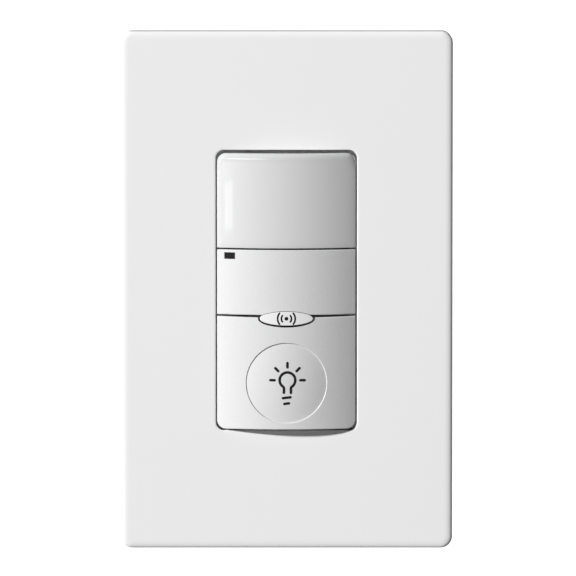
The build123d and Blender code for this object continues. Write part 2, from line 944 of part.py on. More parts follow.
def pocket_block():
    """The walls that a terminal pocket needs inside the housing."""
    half = pocket_width / 2 + pocket_wall
    front = pocket_front - pocket_wall
    back = pocket_front + pocket_length + pocket_wall
    return brick((pocket_floor() - pocket_wall, rear_width / 2 - rear_wall / 2), (front, back), (-half, half))


def pocket_cut():
    """The pocket itself, with the screw's relief and the slot for the terminal's tail."""
    half = pocket_width / 2
    back = pocket_front + pocket_length
    room = brick((pocket_floor(), rear_width / 2 + overrun), (pocket_front, back), (-half, half))
    relief = drill_x(terminal_shank_radius + clamp_fit, pocket_floor(), pocket_floor(), screw_depth(), 0)
    slot_half = terminal_tail_width / 2 + terminal_tail_fit
    inside = pocket_floor() - terminal_tail_fit
    outside = pocket_floor() + terminal_plate_thick + terminal_tail_fit
    slot = brick((inside, outside), (back - overrun, back + pocket_wall + overrun), (-slot_half, slot_half))
    return joined([room, relief, slot])


def screw_depth():
    """Depth of the terminal screws' axes."""
    return pocket_front + pocket_length / 2


def terminal():
    """Brass terminal: a tapped plate on the pocket's floor with a tail to the power board."""
    inside = pocket_floor()
    outside = inside + terminal_plate_thick
    half = pocket_width / 2 - terminal_plate_room
    front = pocket_front + terminal_plate_room
    back = pocket_front + pocket_length
    plate = brick((inside, outside), (front, back), (-half, half))
    tail_half = terminal_tail_width / 2
    tail = brick((inside, outside), (back, power_board_back + header_pin_tail), (-tail_half, tail_half))
    thread = drill_x(terminal_shank_radius + tapped_fit, inside, outside, screw_depth(), 0)
    return plate + tail - thread


def wire_clamp():
    """Square pressure plate on a terminal screw."""
    start = pocket_floor() + terminal_plate_thick + wire_gap
    end = start + clamp_thick
    plate = brick((start, end), either_side(screw_depth(), clamp_side), either_side(0, clamp_side))
    return plate - drill_x(terminal_shank_radius + clamp_fit, start, end, screw_depth(), 0)


def terminal_screw():
    """Binding screw of a terminal."""
    seat = pocket_floor() + terminal_plate_thick + wire_gap + clamp_thick
    top = seat + terminal_head_height
    head = rod_x(terminal_head_radius, seat, top, screw_depth(), 0)
    head = chamfer(head.edges().sort_by(Axis.X)[-1], length=edge_break)
    tip = pocket_floor() - terminal_shank_tip / 2
    shank = rod_x(terminal_shank_radius, tip, seat, screw_depth(), 0)
    along = either_side(screw_depth(), 2 * terminal_head_radius + overrun)
    cut = brick((top - slot_cut_depth, top + overrun), along, either_side(0, slot_cut_width))
    return head + shank - cut


def housing_screws():
    """Long screws from the back through the pillars into the strap."""
    back = rear_y - housing_head_sink
    head = rod_y(housing_head_radius, back, back - housing_head_height)
    shank = rod_y(housing_screw_radius, back - housing_head_height, -housing_screw_end / 2)
    slot_line = Rectangle(2 * housing_head_radius + overrun, slot_cut_width)
    slot = slab(slot_line, back + overrun, back - slot_cut_depth)
    return four_ways(Pos(pillar_across, 0, pillar_level) * (head + shank - slot))


def board_outline():
    """Both boards' outline, notched at its corners for the pillars."""
    half_width = rear_width / 2 - rear_wall - board_room
    half_height = rear_height / 2 - rear_wall - board_room
    sheet = Rectangle(2 * half_width, 2 * half_height)
    notch_side = half_width - (pillar_across - pillar_side / 2 - notch_room)
    notch_end = half_height - (pillar_level - pillar_side / 2 - notch_room)
    for across in (-1, 1):
        for level in (-1, 1):
            corner = Pos(across * half_width, level * half_height)
            sheet = sheet - corner * Rectangle(2 * notch_side, 2 * notch_end)
    return sheet


def drilled(outline, places, radius):
    """A sketch with a round hole at each place."""
    for across, level in places:
        outline = outline - Pos(across, level) * Circle(radius)
    return outline


def corners_of(across, level):
    """The four places that share one distance across and one up."""
    return [(x, z) for x in (-across, across) for z in (-level, level)]


def pir_lead_places():
    """Where the infrared sensor's three leads pass the board."""
    turns = [pir_first_lead_turn + 360 * i / pir_lead_count for i in range(pir_lead_count)]
    return [spoke(pir_lead_circle, turn) for turn in turns]


def spoke(reach, turn):
    """A place at a distance and an angle from the infrared sensor's middle."""
    angle = math.radians(turn)
    return reach * math.cos(angle), pir_level + reach * math.sin(angle)


def sensor_board():
    """Front circuit board, held on the front housing's posts."""
    outline = drilled(board_outline(), corners_of(board_post_across, board_post_level), board_pilot_radius)
    outline = drilled(outline, pir_lead_places(), pir_lead_radius + lead_fit)
    for across, level in light_leg_places():
        side = light_leg_side + 2 * lead_fit
        outline = outline - Pos(across, level) * Rectangle(side, side)
    for across, level in header_places():
        side = header_pin_side + 2 * header_fit
        outline = outline - Pos(across, level) * Rectangle(side, side)
    return slab(outline, sensor_board_back, sensor_board_y)


def power_board():
    """Rear circuit board, which carries the mains parts."""
    outline = drilled(board_outline(), corners_of(power_post_across, power_post_level), board_pilot_radius)
    for across, level in header_places():
        side = header_pin_side + 2 * header_fit
        outline = outline - Pos(across, level) * Rectangle(side, side)
    outline = drilled(outline, mains_lead_places(), part_lead_radius + lead_fit)
    for across, level in relay_tail_places():
        side = contact_post_thick + 2 * lead_fit
        tail = contact_tail_width + 2 * lead_fit
        outline = outline - Pos(across, level) * Rectangle(side, tail)
    middle = pocket_floor() + terminal_plate_thick / 2
    for side, level in terminal_places():
        width = terminal_plate_thick + 2 * terminal_tail_fit
        height = terminal_tail_width + 2 * terminal_tail_fit
        outline = outline - Pos(side * middle, level) * Rectangle(width, height)
    return slab(outline, power_board_back, power_board_y)


def board_screws():
    """Small screws that hold both boards to their posts."""
    rear_head = rod_y(board_head_radius, sensor_board_back + board_head_height, sensor_board_back)
    rear_shank = rod_y(board_screw_radius, sensor_board_back, sensor_board_y - board_screw_bite / 2)
    front_head = rod_y(board_head_radius, power_board_y, power_board_y - board_head_height)
    front_shank = rod_y(board_screw_radius, power_board_back + board_screw_bite / 2, power_board_y)
    rear_one = Pos(board_post_across, 0, board_post_level) * (rear_head + rear_shank)
    front_one = Pos(power_post_across, 0, power_post_level) * (front_head + front_shank)
    return four_ways(rear_one) + four_ways(front_one)


def header_places():
    """Where the header's pins pass both boards."""
    first = header_across - header_pitch * (header_count - 1) / 2
    low = header_level - header_pitch * (header_rows - 1) / 2
    return [(first + header_pitch * i, low + header_pitch * j)
            for i in range(header_count) for j in range(header_rows)]


def header_pins():
    """Square pins that join the two boards."""
    back = power_board_back + header_pin_tail
    front = sensor_board_y - header_pin_tail
    pin = Rectangle(header_pin_side, header_pin_side)
    return [slab(Pos(across, level) * pin, back, front) for across, level in header_places()]


def board_header():
    """Moulded block around the pins, standing on the power board."""
    block = Rectangle(header_pitch * header_count, header_pitch * header_rows)
    outline = Pos(header_across, header_level) * block
    for across, level in header_places():
        side = header_pin_side + 2 * header_fit
        outline = outline - Pos(across, level) * Rectangle(side, side)
    return slab(outline, power_board_y, power_board_y - header_block_height)


def pir_can():
    """Metal can of the infrared sensor, with a recess for its filter."""
    front = sensor_board_y - pir_height
    can = rod_y(pir_radius, sensor_board_y, front, 0, pir_level)
    rim = rod_y(pir_rim_radius, sensor_board_y, sensor_board_y - pir_rim_height, 0, pir_level)
    window = shroud_outline(pir_window_width, pir_window_height)
    return can + rim - slab(window, front + pir_window_thick, front - overrun)


def pir_window():
    """Dark silicon filter in the can's front."""
    front = sensor_board_y - pir_height
    return slab(shroud_outline(pir_window_width, pir_window_height), front + pir_window_thick, front)


def pir_leads():
    """Three leads of the infrared sensor."""
    back = sensor_board_y + pir_lead_length
    return [rod_y(pir_lead_radius, back, sensor_board_y, x, z) for x, z in pir_lead_places()]


def lens_shroud():
    """Black funnel that limits what the infrared sensor sees, seated in the deck."""
    flange = shroud_outline(shroud_width + 2 * shroud_flange, shroud_height + 2 * shroud_flange)
    front = deck_y - shroud_wall
    plate = slab(flange, deck_y, front)
    body = plate + funnel(0.0, deck_y, shroud_floor_back)
    body = body - funnel(shroud_wall, front - short_overrun, shroud_floor_back - shroud_wall)
    can = rod_y(pir_radius + pir_room, shroud_floor_back + overrun, -overrun, 0, pir_level)
    photo = rod_y(photo_radius + pir_room, shroud_floor_back + overrun, -overrun, photo_across, pir_level)
    return less(body, [can, photo])


def funnel(inset, front, back):
    """A tapered block from the deck's opening to the smaller floor."""
    wide = (shroud_width - 2 * inset, shroud_height - 2 * inset)
    narrow = (shroud_floor_width - 2 * inset, shroud_floor_height - 2 * inset)
    mouth = face_at(front) * shroud_outline(*wide)
    floor = face_at(back) * shroud_outline(*narrow)
    return loft([floor, mouth])


def face_at(depth):
    """The plane of a sketch in X and Z at a depth."""
    return Plane(origin=(0, depth, 0), x_dir=(1, 0, 0), z_dir=(0, -1, 0))


def domed_rod(radius, back, front, across, level):
    """A rod with a half-round front end, as on a small lamp."""
    shank = rod_y(radius, back, front + radius, across, level)
    return shank + Pos(across, front + radius, level) * Sphere(radius)


def light_sensor():
    """Clear phototransistor beside the infrared sensor."""
    return domed_rod(photo_radius, sensor_board_y, sensor_board_y - photo_height, photo_across, pir_level)


def light_leg_places():
    """Where the indicator's two legs pass the board."""
    half = light_leg_spacing / 2
    return [(light_across, window_level - half), (light_across, window_level + half)]


def indicator_led():
    """Small indicator lamp on two legs, behind the status window."""
    front = deck_y + light_gap - seat_gap
    rim_front = front + light_body_length
    rim_back = rim_front + light_rim_height
    lamp = domed_rod(light_radius, rim_front, front, light_across, window_level)
    rim = rod_y(light_rim_radius, rim_back, rim_front, light_across, window_level)
    tail = sensor_board_back + header_pin_tail
    leg = Rectangle(light_leg_side, light_leg_side)
    legs = [slab(Pos(across, level) * leg, tail, rim_back) for across, level in light_leg_places()]
    return joined([lamp, rim] + legs)


def tact_front():
    """Depth of the tactile switch's moulded front."""
    return sensor_board_y - tact_height


def tact_switch_body():
    """Moulded base of the tactile switch, with the well that holds its dome."""
    outline = Pos(0, finger_level) * Rectangle(tact_side, tact_side)
    base = slab(outline, sensor_board_y, tact_front())
    floor = sensor_board_y - tact_wall
    well = rod_y(tact_dome_radius + tact_plunger_fit, floor, tact_front() - overrun, 0, finger_level)
    return base - well


def tact_switch_cover():
    """Steel plate over the tactile switch."""
    plate = Rectangle(tact_side, tact_side) - Circle(tact_plunger_radius + tact_plunger_fit)
    outline = Pos(0, finger_level) * plate
    return slab(outline, tact_front(), tact_front() - tact_cover_thick)


def dome_top():
    """Depth of the snap dome's crown."""
    return sensor_board_y - tact_wall - tact_dome_rise


def tact_dome():
    """Snap dome that pushes the plunger and the panel back."""
    floor = sensor_board_y - tact_wall
    ball = (tact_dome_radius**2 + tact_dome_rise**2) / (2 * tact_dome_rise)
    centre = Pos(0, dome_top() + ball, finger_level)
    shell = centre * Sphere(ball) - centre * Sphere(ball - tact_dome_thick)
    return shell & rod_y(tact_dome_radius, floor, dome_top() - short_overrun, 0, finger_level)


def tact_plunger():
    """Long stem between the dome and the panel's post, with a foot that keeps it in."""
    foot_back = dome_top() - seat_gap
    foot = rod_y(tact_foot_radius, foot_back, foot_back - tact_foot_thick, 0, finger_level)
    stem = rod_y(tact_plunger_radius, foot_back, -tact_plunger_tip, 0, finger_level)
    return foot + stem


def trimmer_bodies():
    """Square bodies of the two trimmers."""
    bodies = []
    for across in (time_dial_across, range_dial_across):
        outline = Pos(across, dial_level) * RectangleRounded(trimmer_side, trimmer_side, trimmer_corner)
        front = sensor_board_y - trimmer_height
        bore_back = front + dial_pin_length + dial_gap
        bore = rod_y(dial_pin_radius + dial_running_fit, bore_back, front - overrun, across, dial_level)
        bodies.append(slab(outline, sensor_board_y, front) - bore)
    return bodies


def dial(across):
    """A trimmer's rotor, with a driver slot and a pin that turns in the body."""
    body_front = sensor_board_y - trimmer_height
    back = body_front - dial_gap
    knob = rod_y(dial_radius, back, -dial_front, across, dial_level)
    knob = chamfer(knob.edges().sort_by(Axis.Y)[0], length=dial_slot_width / 2)
    pin = rod_y(dial_pin_radius, body_front + dial_pin_length, back, across, dial_level)
    depth = -dial_front + dial_slot_depth
    slot = Pos(across, dial_level) * Rectangle(dial_slot_width, dial_slot_length)
    arm = Pos(across, dial_level) * Rectangle(dial_slot_arm, dial_slot_width)
    return knob + pin - slab(slot, depth, -dial_front - overrun) - slab(arm, depth, -dial_front - overrun)


def mode_width():
    """Width of the mode switch's body."""
    return mode_pitch * mode_count + 2 * mode_end_wall


def mode_front():
    """Depth of the mode switch's front."""
    return sensor_board_y - mode_depth


def slider_places():
    """Distances across of the mode switch's sliders."""
    first = mode_across - mode_pitch * (mode_count - 1) / 2
    return [first + mode_pitch * i for i in range(mode_count)]


def mode_switch_body():
    """Body of the mode switch, with a track for each slider."""
    outline = Pos(mode_across, dial_level) * Rectangle(mode_width(), mode_body_height)
    body = slab(outline, sensor_board_y, mode_front())
    track_depth = mode_front() + slider_sunk + slider_room
    track_height = slider_height + slider_travel + 2 * slider_room
    for across in slider_places():
        track = Pos(across, dial_level) * Rectangle(slider_width + 2 * slider_room, track_height)
        body = body - slab(track, track_depth, mode_front() - overrun)
    return body


def mode_slider(across):
    """One slider, at rest in the lower end of its track."""
    level = dial_level - slider_travel / 2
    outline = Pos(across, level) * Rectangle(slider_width, slider_height)
    return slab(outline, mode_front() + slider_sunk, mode_front() - slider_stand)


def controller_chip():
    """Controller on the sensor board's back, with its gull-wing legs."""
    stand_y = sensor_board_back + chip_stand
    middle = Pos(chip_across, chip_level)
    body = slab(middle * Rectangle(chip_width, chip_height), stand_y + chip_thick, stand_y)
    legs = []
    for side in (-1, 1):
        for i in range(chip_leg_count):
            across = chip_across + chip_leg_pitch * (i - (chip_leg_count - 1) / 2)
            width = (across - chip_leg_width / 2, across + chip_leg_width / 2)
            start = chip_level + side * (chip_height / 2 - chip_leg_thick)
            bend = chip_level + side * (chip_height / 2 + chip_leg_reach / 2)
            end = chip_level + side * (chip_height / 2 + chip_leg_reach)
            shoulder_y = stand_y + chip_thick / 2
            legs.append(brick(width, (shoulder_y, shoulder_y + chip_leg_thick), sorted((start, bend))))
            drop = sorted((bend - side * chip_leg_thick, bend))
            legs.append(brick(width, (sensor_board_back, shoulder_y + chip_leg_thick), drop))
            legs.append(brick(width, (sensor_board_back, sensor_board_back + chip_leg_thick),
                              sorted((bend - side * chip_leg_thick, end))))
    return joined([body] + legs)


def relay_base_front():
    """Depth of the relay base's inner face."""
    return power_board_y - relay_base_thick


def relay_tail_places():
    """Where the two contact tails leave the relay."""
    side = contact_post_across()
    return [(side, relay_level - contact_post_width), (side, relay_level)]


def contact_post_across():
    """Distance across of the fixed contact's upright."""
    return contact_across + contact_radius + contact_post_thick / 2


def relay_base():
    """Moulded base of the relay."""
    outline = Pos(0, relay_level) * Rectangle(relay_width, relay_height)
    for across, level in relay_tail_places():
        side = contact_post_thick + 2 * lead_fit
        tail = contact_tail_width + 2 * lead_fit
        outline = outline - Pos(across, level) * Rectangle(side, tail)
    return slab(outline, power_board_y, relay_base_front())


def relay_case():
    """Dust cap of the relay."""
    front = power_board_y - relay_depth
    outer = slab(Pos(0, relay_level) * Rectangle(relay_width, relay_height), relay_base_front(), front)
    outer = chamfer(outer.faces().sort_by(Axis.Y)[0].edges(), length=relay_case_wall / 2)
    wall = 2 * relay_case_wall
    inner = Pos(0, relay_level) * Rectangle(relay_width - wall, relay_height - wall)
    return outer - slab(inner, relay_base_front() + overrun, front + relay_case_wall)


def core_top():
    """Depth of the core's pole face."""
    return relay_base_front() - yoke_stand


def relay_yoke():
    """L-shaped iron yoke with the coil's core on it."""
    foot = brick((yoke_across - yoke_thick / 2, coil_across + core_radius + yoke_thick),
                 (relay_base_front() - yoke_thick, relay_base_front()),
                 (relay_level - yoke_width / 2, relay_level + yoke_width / 2))
    leg_top = core_top() - armature_gap + armature_pivot_gap
    leg = brick((yoke_across - yoke_thick / 2, yoke_across + yoke_thick / 2),
                (leg_top, relay_base_front()),
                (relay_level - yoke_width / 2, relay_level + yoke_width / 2))
    core = rod_y(core_radius, relay_base_front(), core_top(), coil_across, relay_level)
    return joined([foot, leg, core])


def bobbin_span():
    """Depths of the bobbin's back and front."""
    return relay_base_front() - yoke_thick, core_top() + bobbin_flange_thick / 2


def relay_bobbin():
    """Flanged spool on the core."""
    back, front = bobbin_span()
    tube = rod_y(bobbin_tube_radius, back, front, coil_across, relay_level)
    rear = rod_y(bobbin_flange_radius, back, back - bobbin_flange_thick, coil_across, relay_level)
    fore = rod_y(bobbin_flange_radius, front + bobbin_flange_thick, front, coil_across, relay_level)
    bore = rod_y(core_radius + bobbin_fit, back + overrun, front - overrun, coil_across, relay_level)
    return joined([tube, rear, fore]) - bore


def relay_winding():
    """Copper winding between the spool's flanges."""
    back, front = bobbin_span()
    gap = bobbin_flange_thick + winding_gap
    outer = rod_y(winding_radius, back - gap, front + gap, coil_across, relay_level)
    inner = rod_y(bobbin_tube_radius + winding_gap, back, front, coil_across, relay_level)
    return outer - inner


def relay_armature():
    """Iron flap over the pole, with the spring blade and moving contact on it."""
    back = core_top() - armature_gap
    front = back - armature_thick
    start = yoke_across - yoke_thick / 2
    half = yoke_width / 2
    flap = brick((start, start + armature_reach), (front, back), (relay_level - half, relay_level + half))
    blade_half = blade_width / 2
    blade_start = start + armature_reach / 2
    blade_end = start + armature_reach + blade_reach / 2 + contact_radius
    blade = brick((blade_start, blade_end), (front - blade_thick, front),
                  (relay_level - blade_half, relay_level + blade_half))
    button = rod_y(contact_radius, front + contact_thick, front, contact_across, relay_level)
    return joined([flap, blade, button])


def relay_contacts():
    """Fixed contacts on their uprights."""
    moving_back = core_top() - armature_gap - armature_thick + contact_thick
    front = moving_back + contact_gap
    button = rod_y(contact_radius, front + contact_thick, front, contact_across, relay_level)
    arm_back = front + contact_thick + contact_post_thick
    across = contact_post_across()
    sides = (across - contact_post_thick / 2, across + contact_post_thick / 2)
    height = either_side(relay_level, contact_post_width)
    arm = brick((contact_across - contact_radius, sides[1]), (front + contact_thick, arm_back), height)
    upright = brick(sides, (arm_back - contact_post_thick, relay_base_front()), height)
    tail_back = power_board_y + relay_lead_length
    tail = brick(sides, (relay_base_front(), tail_back), either_side(relay_level, contact_tail_width))
    blade_level = relay_level - contact_post_width
    post = brick(sides, (front, tail_back), either_side(blade_level, contact_tail_width))
    return [joined([button, arm, upright, tail]), post]


def leads_at(across, level, spacing):
    """Two lead places either side of a part's middle."""
    return [(across - spacing / 2, level), (across + spacing / 2, level)]


def can_places():
    """Places of the two smoothing capacitors."""
    return [(can_across, can_level), (can_across, can_level + can_gap)]


def mains_lead_places():
    """Every round lead hole in the power board."""
    places = leads_at(film_across, film_level, film_width - film_height / 2)
    for across, level in can_places():
        places += leads_at(across, level, can_radius)
    places += leads_at(varistor_across, varistor_level, varistor_radius)
    places += leads_at(fuse_across, fuse_level, fuse_length - fuse_cap_length)
    places += leads_at(rectifier_across, rectifier_level, rectifier_width / 2)
    places += leads_at(choke_across, choke_level, choke_radius)
    return places


def two_leads(across, level, spacing, front):
    """A pair of leads from a depth back through the power board."""
    back = power_board_y + part_lead_length
    return [rod_y(part_lead_radius, back, front, x, z) for x, z in leads_at(across, level, spacing)]


def film_capacitor():
    """Boxed mains film capacitor."""
    seat = power_board_y - part_stand
    outline = Pos(film_across, film_level) * RectangleRounded(film_width, film_height, film_corner)
    body = slab(outline, seat, seat - film_depth)
    return joined([body] + two_leads(film_across, film_level, film_width - film_height / 2, seat))


def smoothing_capacitors():
    """Round electrolytic capacitors with a crimp near the board."""
    seat = power_board_y - part_stand
    cans = []
    for across, level in can_places():
        can = rod_y(can_radius, seat, seat - can_height, across, level)
        can = fillet(can.edges().sort_by(Axis.Y)[0], radius=can_groove)
        at = seat - can_groove_at
        ring = rod_y(can_radius + overrun, at, at - can_groove, across, level)
        groove = ring - rod_y(can_radius - can_groove, at, at - can_groove, across, level)
        cans.append(joined([can - groove] + two_leads(across, level, can_radius, seat)))
    return cans


def varistor():
    """Surge absorber disc standing on its edge."""
    seat = power_board_y - part_stand
    middle = Pos(varistor_across, seat - varistor_radius, varistor_level)
    disc = middle * Cylinder(varistor_radius, varistor_thick)
    disc = fillet(disc.edges(), radius=varistor_round)
    leads = two_leads(varistor_across, varistor_level, varistor_radius, seat - varistor_radius)
    return joined([disc] + leads)


def fuse():
    """Glass fuse with end caps, lying along the board."""
    depth = power_board_y - part_stand - fuse_radius
    half = fuse_length / 2
    glass_radius = fuse_radius - part_stand
    tube = rod_x(glass_radius, fuse_across - half, fuse_across + half, depth, fuse_level)
    caps = [rod_x(fuse_radius, fuse_across - half, fuse_across - half + fuse_cap_length, depth, fuse_level),
            rod_x(fuse_radius, fuse_across + half - fuse_cap_length, fuse_across + half, depth, fuse_level)]
    leads = two_leads(fuse_across, fuse_level, fuse_length - fuse_cap_length, depth)
    return joined([tube] + caps + leads)


def rectifier():
    """Bridge rectifier."""
    seat = power_board_y - part_stand
    outline = Pos(rectifier_across, rectifier_level) * Rectangle(rectifier_width, rectifier_height)
    body = slab(outline, seat, seat - rectifier_thick)
    body = chamfer(body.faces().sort_by(Axis.Y)[0].edges(), length=part_stand)
    return joined([body] + two_leads(rectifier_across, rectifier_level, rectifier_width / 2, seat))


def choke():
    """Drum choke with a wound waist."""
    seat = power_board_y - part_stand
    tip = seat - choke_height
    ends = [rod_y(choke_radius, seat, seat - choke_flange, choke_across, choke_level),
            rod_y(choke_radius, tip + choke_flange, tip, choke_across, choke_level)]
    waist = rod_y(choke_radius - choke_waist, seat, tip, choke_across, choke_level)
    return joined(ends + [waist] + two_leads(choke_across, choke_level, choke_radius, seat))


def sided(solid):
    """A terminal piece at each of the three terminal places."""
    return [side_way(solid, side, level) for side, level in terminal_places()]


os.makedirs("parts", exist_ok=True)

save("plate_cover", plate_cover())
save("plate_subframe", plate_subframe())
save("plate_screws", plate_screws())
save("mounting_strap", mounting_strap())
save("box_screws", box_screws())
save("screw_retainers", screw_retainers())
save("ground_screw", ground_screw())
save("front_housing", front_housing())
save("rear_housing", rear_housing())
save("housing_screws", housing_screws())
save("hinge_pins", hinge_pins())
save("fresnel_lens", fresnel_lens())
save("access_cover", access_cover())
save("oval_badge", oval_badge())
save("led_window", led_window())
save("push_panel", push_panel())
save("sensor_board", sensor_board())
save("power_board", power_board())
save("board_screws", board_screws())
save("board_header", board_header())
save("header_pins", header_pins())
save("lens_shroud", lens_shroud())
save("pir_can", pir_can())
save("pir_window", pir_window())
save("pir_leads", pir_leads())
save("light_sensor", light_sensor())
save("indicator_led", indicator_led())
save("tact_switch_body", tact_switch_body())
save("tact_switch_cover", tact_switch_cover())
save("tact_dome", tact_dome())
save("tact_plunger", tact_plunger())
save("trimmer_bodies", trimmer_bodies())
save("time_dial", dial(time_dial_across))
save("range_dial", dial(range_dial_across))
save("mode_switch_body", mode_switch_body())
for number, across in enumerate(slider_places(), start=1):
    save(f"mode_slider_{number}", mode_slider(across))
save("controller_chip", controller_chip())
save("relay_base", relay_base())
save("relay_case", relay_case())
save("relay_yoke", relay_yoke())
save("relay_bobbin", relay_bobbin())
save("relay_winding", relay_winding())
save("relay_armature", relay_armature())
save("relay_contacts", relay_contacts())
save("film_capacitor", film_capacitor())
save("smoothing_capacitors", smoothing_capacitors())
save("varistor", varistor())
save("fuse", fuse())
save("rectifier", rectifier())
save("choke", choke())
for name, (side, level) in zip(("line", "load", "neutral"), terminal_places()):
    save(f"{name}_terminal", side_way(terminal(), side, level))
save("wire_clamps", sided(wire_clamp()))
save("terminal_screws", sided(terminal_screw()))
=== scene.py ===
import math

import bmesh
import bpy
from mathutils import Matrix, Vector
from mathutils.geometry import delaunay_2d_cdt


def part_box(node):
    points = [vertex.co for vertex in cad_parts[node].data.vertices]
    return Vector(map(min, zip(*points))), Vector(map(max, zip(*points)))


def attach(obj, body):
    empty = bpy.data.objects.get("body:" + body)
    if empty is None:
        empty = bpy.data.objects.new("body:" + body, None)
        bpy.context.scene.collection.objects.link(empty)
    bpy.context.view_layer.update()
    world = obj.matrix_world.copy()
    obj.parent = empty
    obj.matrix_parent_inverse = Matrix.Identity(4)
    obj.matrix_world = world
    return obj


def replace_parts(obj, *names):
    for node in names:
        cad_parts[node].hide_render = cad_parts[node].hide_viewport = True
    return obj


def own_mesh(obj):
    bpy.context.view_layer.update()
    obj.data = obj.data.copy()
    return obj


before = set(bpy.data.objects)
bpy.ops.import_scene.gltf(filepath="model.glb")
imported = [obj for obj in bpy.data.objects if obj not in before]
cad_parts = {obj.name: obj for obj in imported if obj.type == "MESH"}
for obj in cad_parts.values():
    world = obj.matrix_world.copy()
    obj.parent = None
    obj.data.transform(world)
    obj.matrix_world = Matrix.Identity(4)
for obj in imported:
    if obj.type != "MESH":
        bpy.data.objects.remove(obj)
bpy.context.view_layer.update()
MM = 0.001

# Rear housing. A deep grey box that goes into the wall box, moulded in glass-filled nylon with a dull,
# finely pitted skin. Four zinc-plated screws run from the back through its corner pillars into the strap.
BOX_GREY = (0.235, 0.245, 0.255)
ZINC = (0.42, 0.43, 0.44)
SHARP_FROM = 32
FLAT_WEIGHT = 80
NOISE_BAND = (0.3, 0.7)
CLOUD_GRAINS = 14
CLOUD_DETAIL = 3.0
ROUGHNESS_SWING = 0.15


def shader_of(material):
    return material.node_tree.nodes["Principled BSDF"]


def add(owner, kind, **values):
    """A node of a material or of the world, with its plain properties and its sockets set by name."""
    node = owner.node_tree.nodes.new(kind)
    for key, value in values.items():
        socket = key.replace("_", " ")
        if socket in node.inputs:
            node.inputs[socket].default_value = value
        else:
            setattr(node, key, value)
    return node


def link(owner, source, target):
    owner.node_tree.links.new(source, target)


def speckle(material, size, detail=2.0, stretch=(1.0, 1.0, 1.0)):
    """Noise whose grains are about a size in millimetres, stretched along an axis if wanted."""
    place = add(material, "ShaderNodeTexCoord")
    scaled = add(material, "ShaderNodeMapping", Scale=stretch)
    noise = add(material, "ShaderNodeTexNoise", Scale=1 / (size * MM), Detail=detail)
    link(material, place.outputs["Object"], scaled.inputs["Vector"])
    link(material, scaled.outputs["Vector"], noise.inputs["Vector"])
    return noise.outputs["Fac"]


def spread(material, source, low, high):
    """A grey signal turned into values from low to high over the greys that noise mostly has."""
    band = add(material, "ShaderNodeMapRange", From_Min=NOISE_BAND[0], From_Max=NOISE_BAND[1],
               To_Min=low, To_Max=high)
    link(material, source, band.inputs["Value"])
    return band.outputs["Result"]


def tinted(material, source, dark, light):
    """A grey signal turned into a colour between two."""
    mix = add(material, "ShaderNodeMix", data_type="RGBA", A=(*dark, 1.0), B=(*light, 1.0))
    link(material, source, mix.inputs["Factor"])
    return mix.outputs["Result"]


def embossed(material, source, depth):
    """A grey signal as relief, its depth in millimetres."""
    bump = add(material, "ShaderNodeBump", Strength=1.0, Distance=depth * MM)
    link(material, source, bump.inputs["Height"])
    link(material, bump.outputs["Normal"], shader_of(material).inputs["Normal"])


def shade(colour, factor):
    return tuple(min(1.0, c * factor) for c in colour)


def new_material(name):
    material = bpy.data.materials.new(name)
    material.use_nodes = True
    return material


def finish(name, colour, roughness, grain=0.3, relief=0.004, mottle=0.04, metal=0.0,
           stretch=(1.0, 1.0, 1.0), **sockets):
    """A surface with its own grain, relief and faint mottling; grain and relief in millimetres."""
    material = new_material(name)
    shader = shader_of(material)
    shader.inputs["Metallic"].default_value = metal
    for key, value in sockets.items():
        shader.inputs[key.replace("_", " ")].default_value = value
    cloud = speckle(material, grain * CLOUD_GRAINS, CLOUD_DETAIL, stretch)
    colours = tinted(material, cloud, shade(colour, 1 - mottle), shade(colour, 1 + mottle))
    link(material, colours, shader.inputs["Base Color"])
    fine = speckle(material, grain, stretch=stretch)
    dullness = spread(material, fine, roughness * (1 - ROUGHNESS_SWING), roughness * (1 + ROUGHNESS_SWING))
    link(material, dullness, shader.inputs["Roughness"])
    embossed(material, fine, relief)
    return material


def coat(piece, material):
    """Give a piece its surface, with smooth normals that its large faces keep flat."""
    piece.data.materials.clear()
    piece.data.materials.append(material)
    piece.data.polygons.foreach_set("material_index", [0] * len(piece.data.polygons))
    piece.data.shade_smooth()
    piece.data.set_sharp_from_angle(angle=math.radians(SHARP_FROM))
    even = piece.modifiers.new("even_normals", "WEIGHTED_NORMAL")
    even.keep_sharp = True
    even.weight = FLAT_WEIGHT


def dress(material, *nodes):
    """Give pieces of the frame a surface."""
    for name in nodes:
        coat(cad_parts[name], material)


box_nylon = finish("box_nylon", BOX_GREY, roughness=0.62, grain=0.32, relief=0.012)
dress(box_nylon, "rear_housing")
zinc_plate = finish("zinc_plate", ZINC, roughness=0.34, grain=0.5, relief=0.003, mottle=0.08, metal=1.0,
                    stretch=(1.0, 0.25, 1.0))
dress(zinc_plate, "housing_screws", "box_screws", "board_screws", "neutral_terminal", "wire_clamps")

# Power board. Green epoxy glass under a glossy solder mask, with copper tracks that show through it
# as paler stripes. It is screwed to posts on the housing's floor, and the sensor board is made alike.
MASK_GREEN = (0.015, 0.10, 0.035)
TRACK_GREEN = (0.035, 0.17, 0.06)
TRACK_PITCH = 2.4
TRACK_WIDTH = 0.035
TRACK_RISE = 0.03
ROWS_PER_UNIT = 4
WEAVE = 0.4
MASK_GLOSS = (0.22, 0.34)
BLACK = (0.0, 0.0, 0.0, 1.0)
PATCH = (0.25, 0.25, 0.25, 1.0)
WHITE = (1.0, 1.0, 1.0, 1.0)


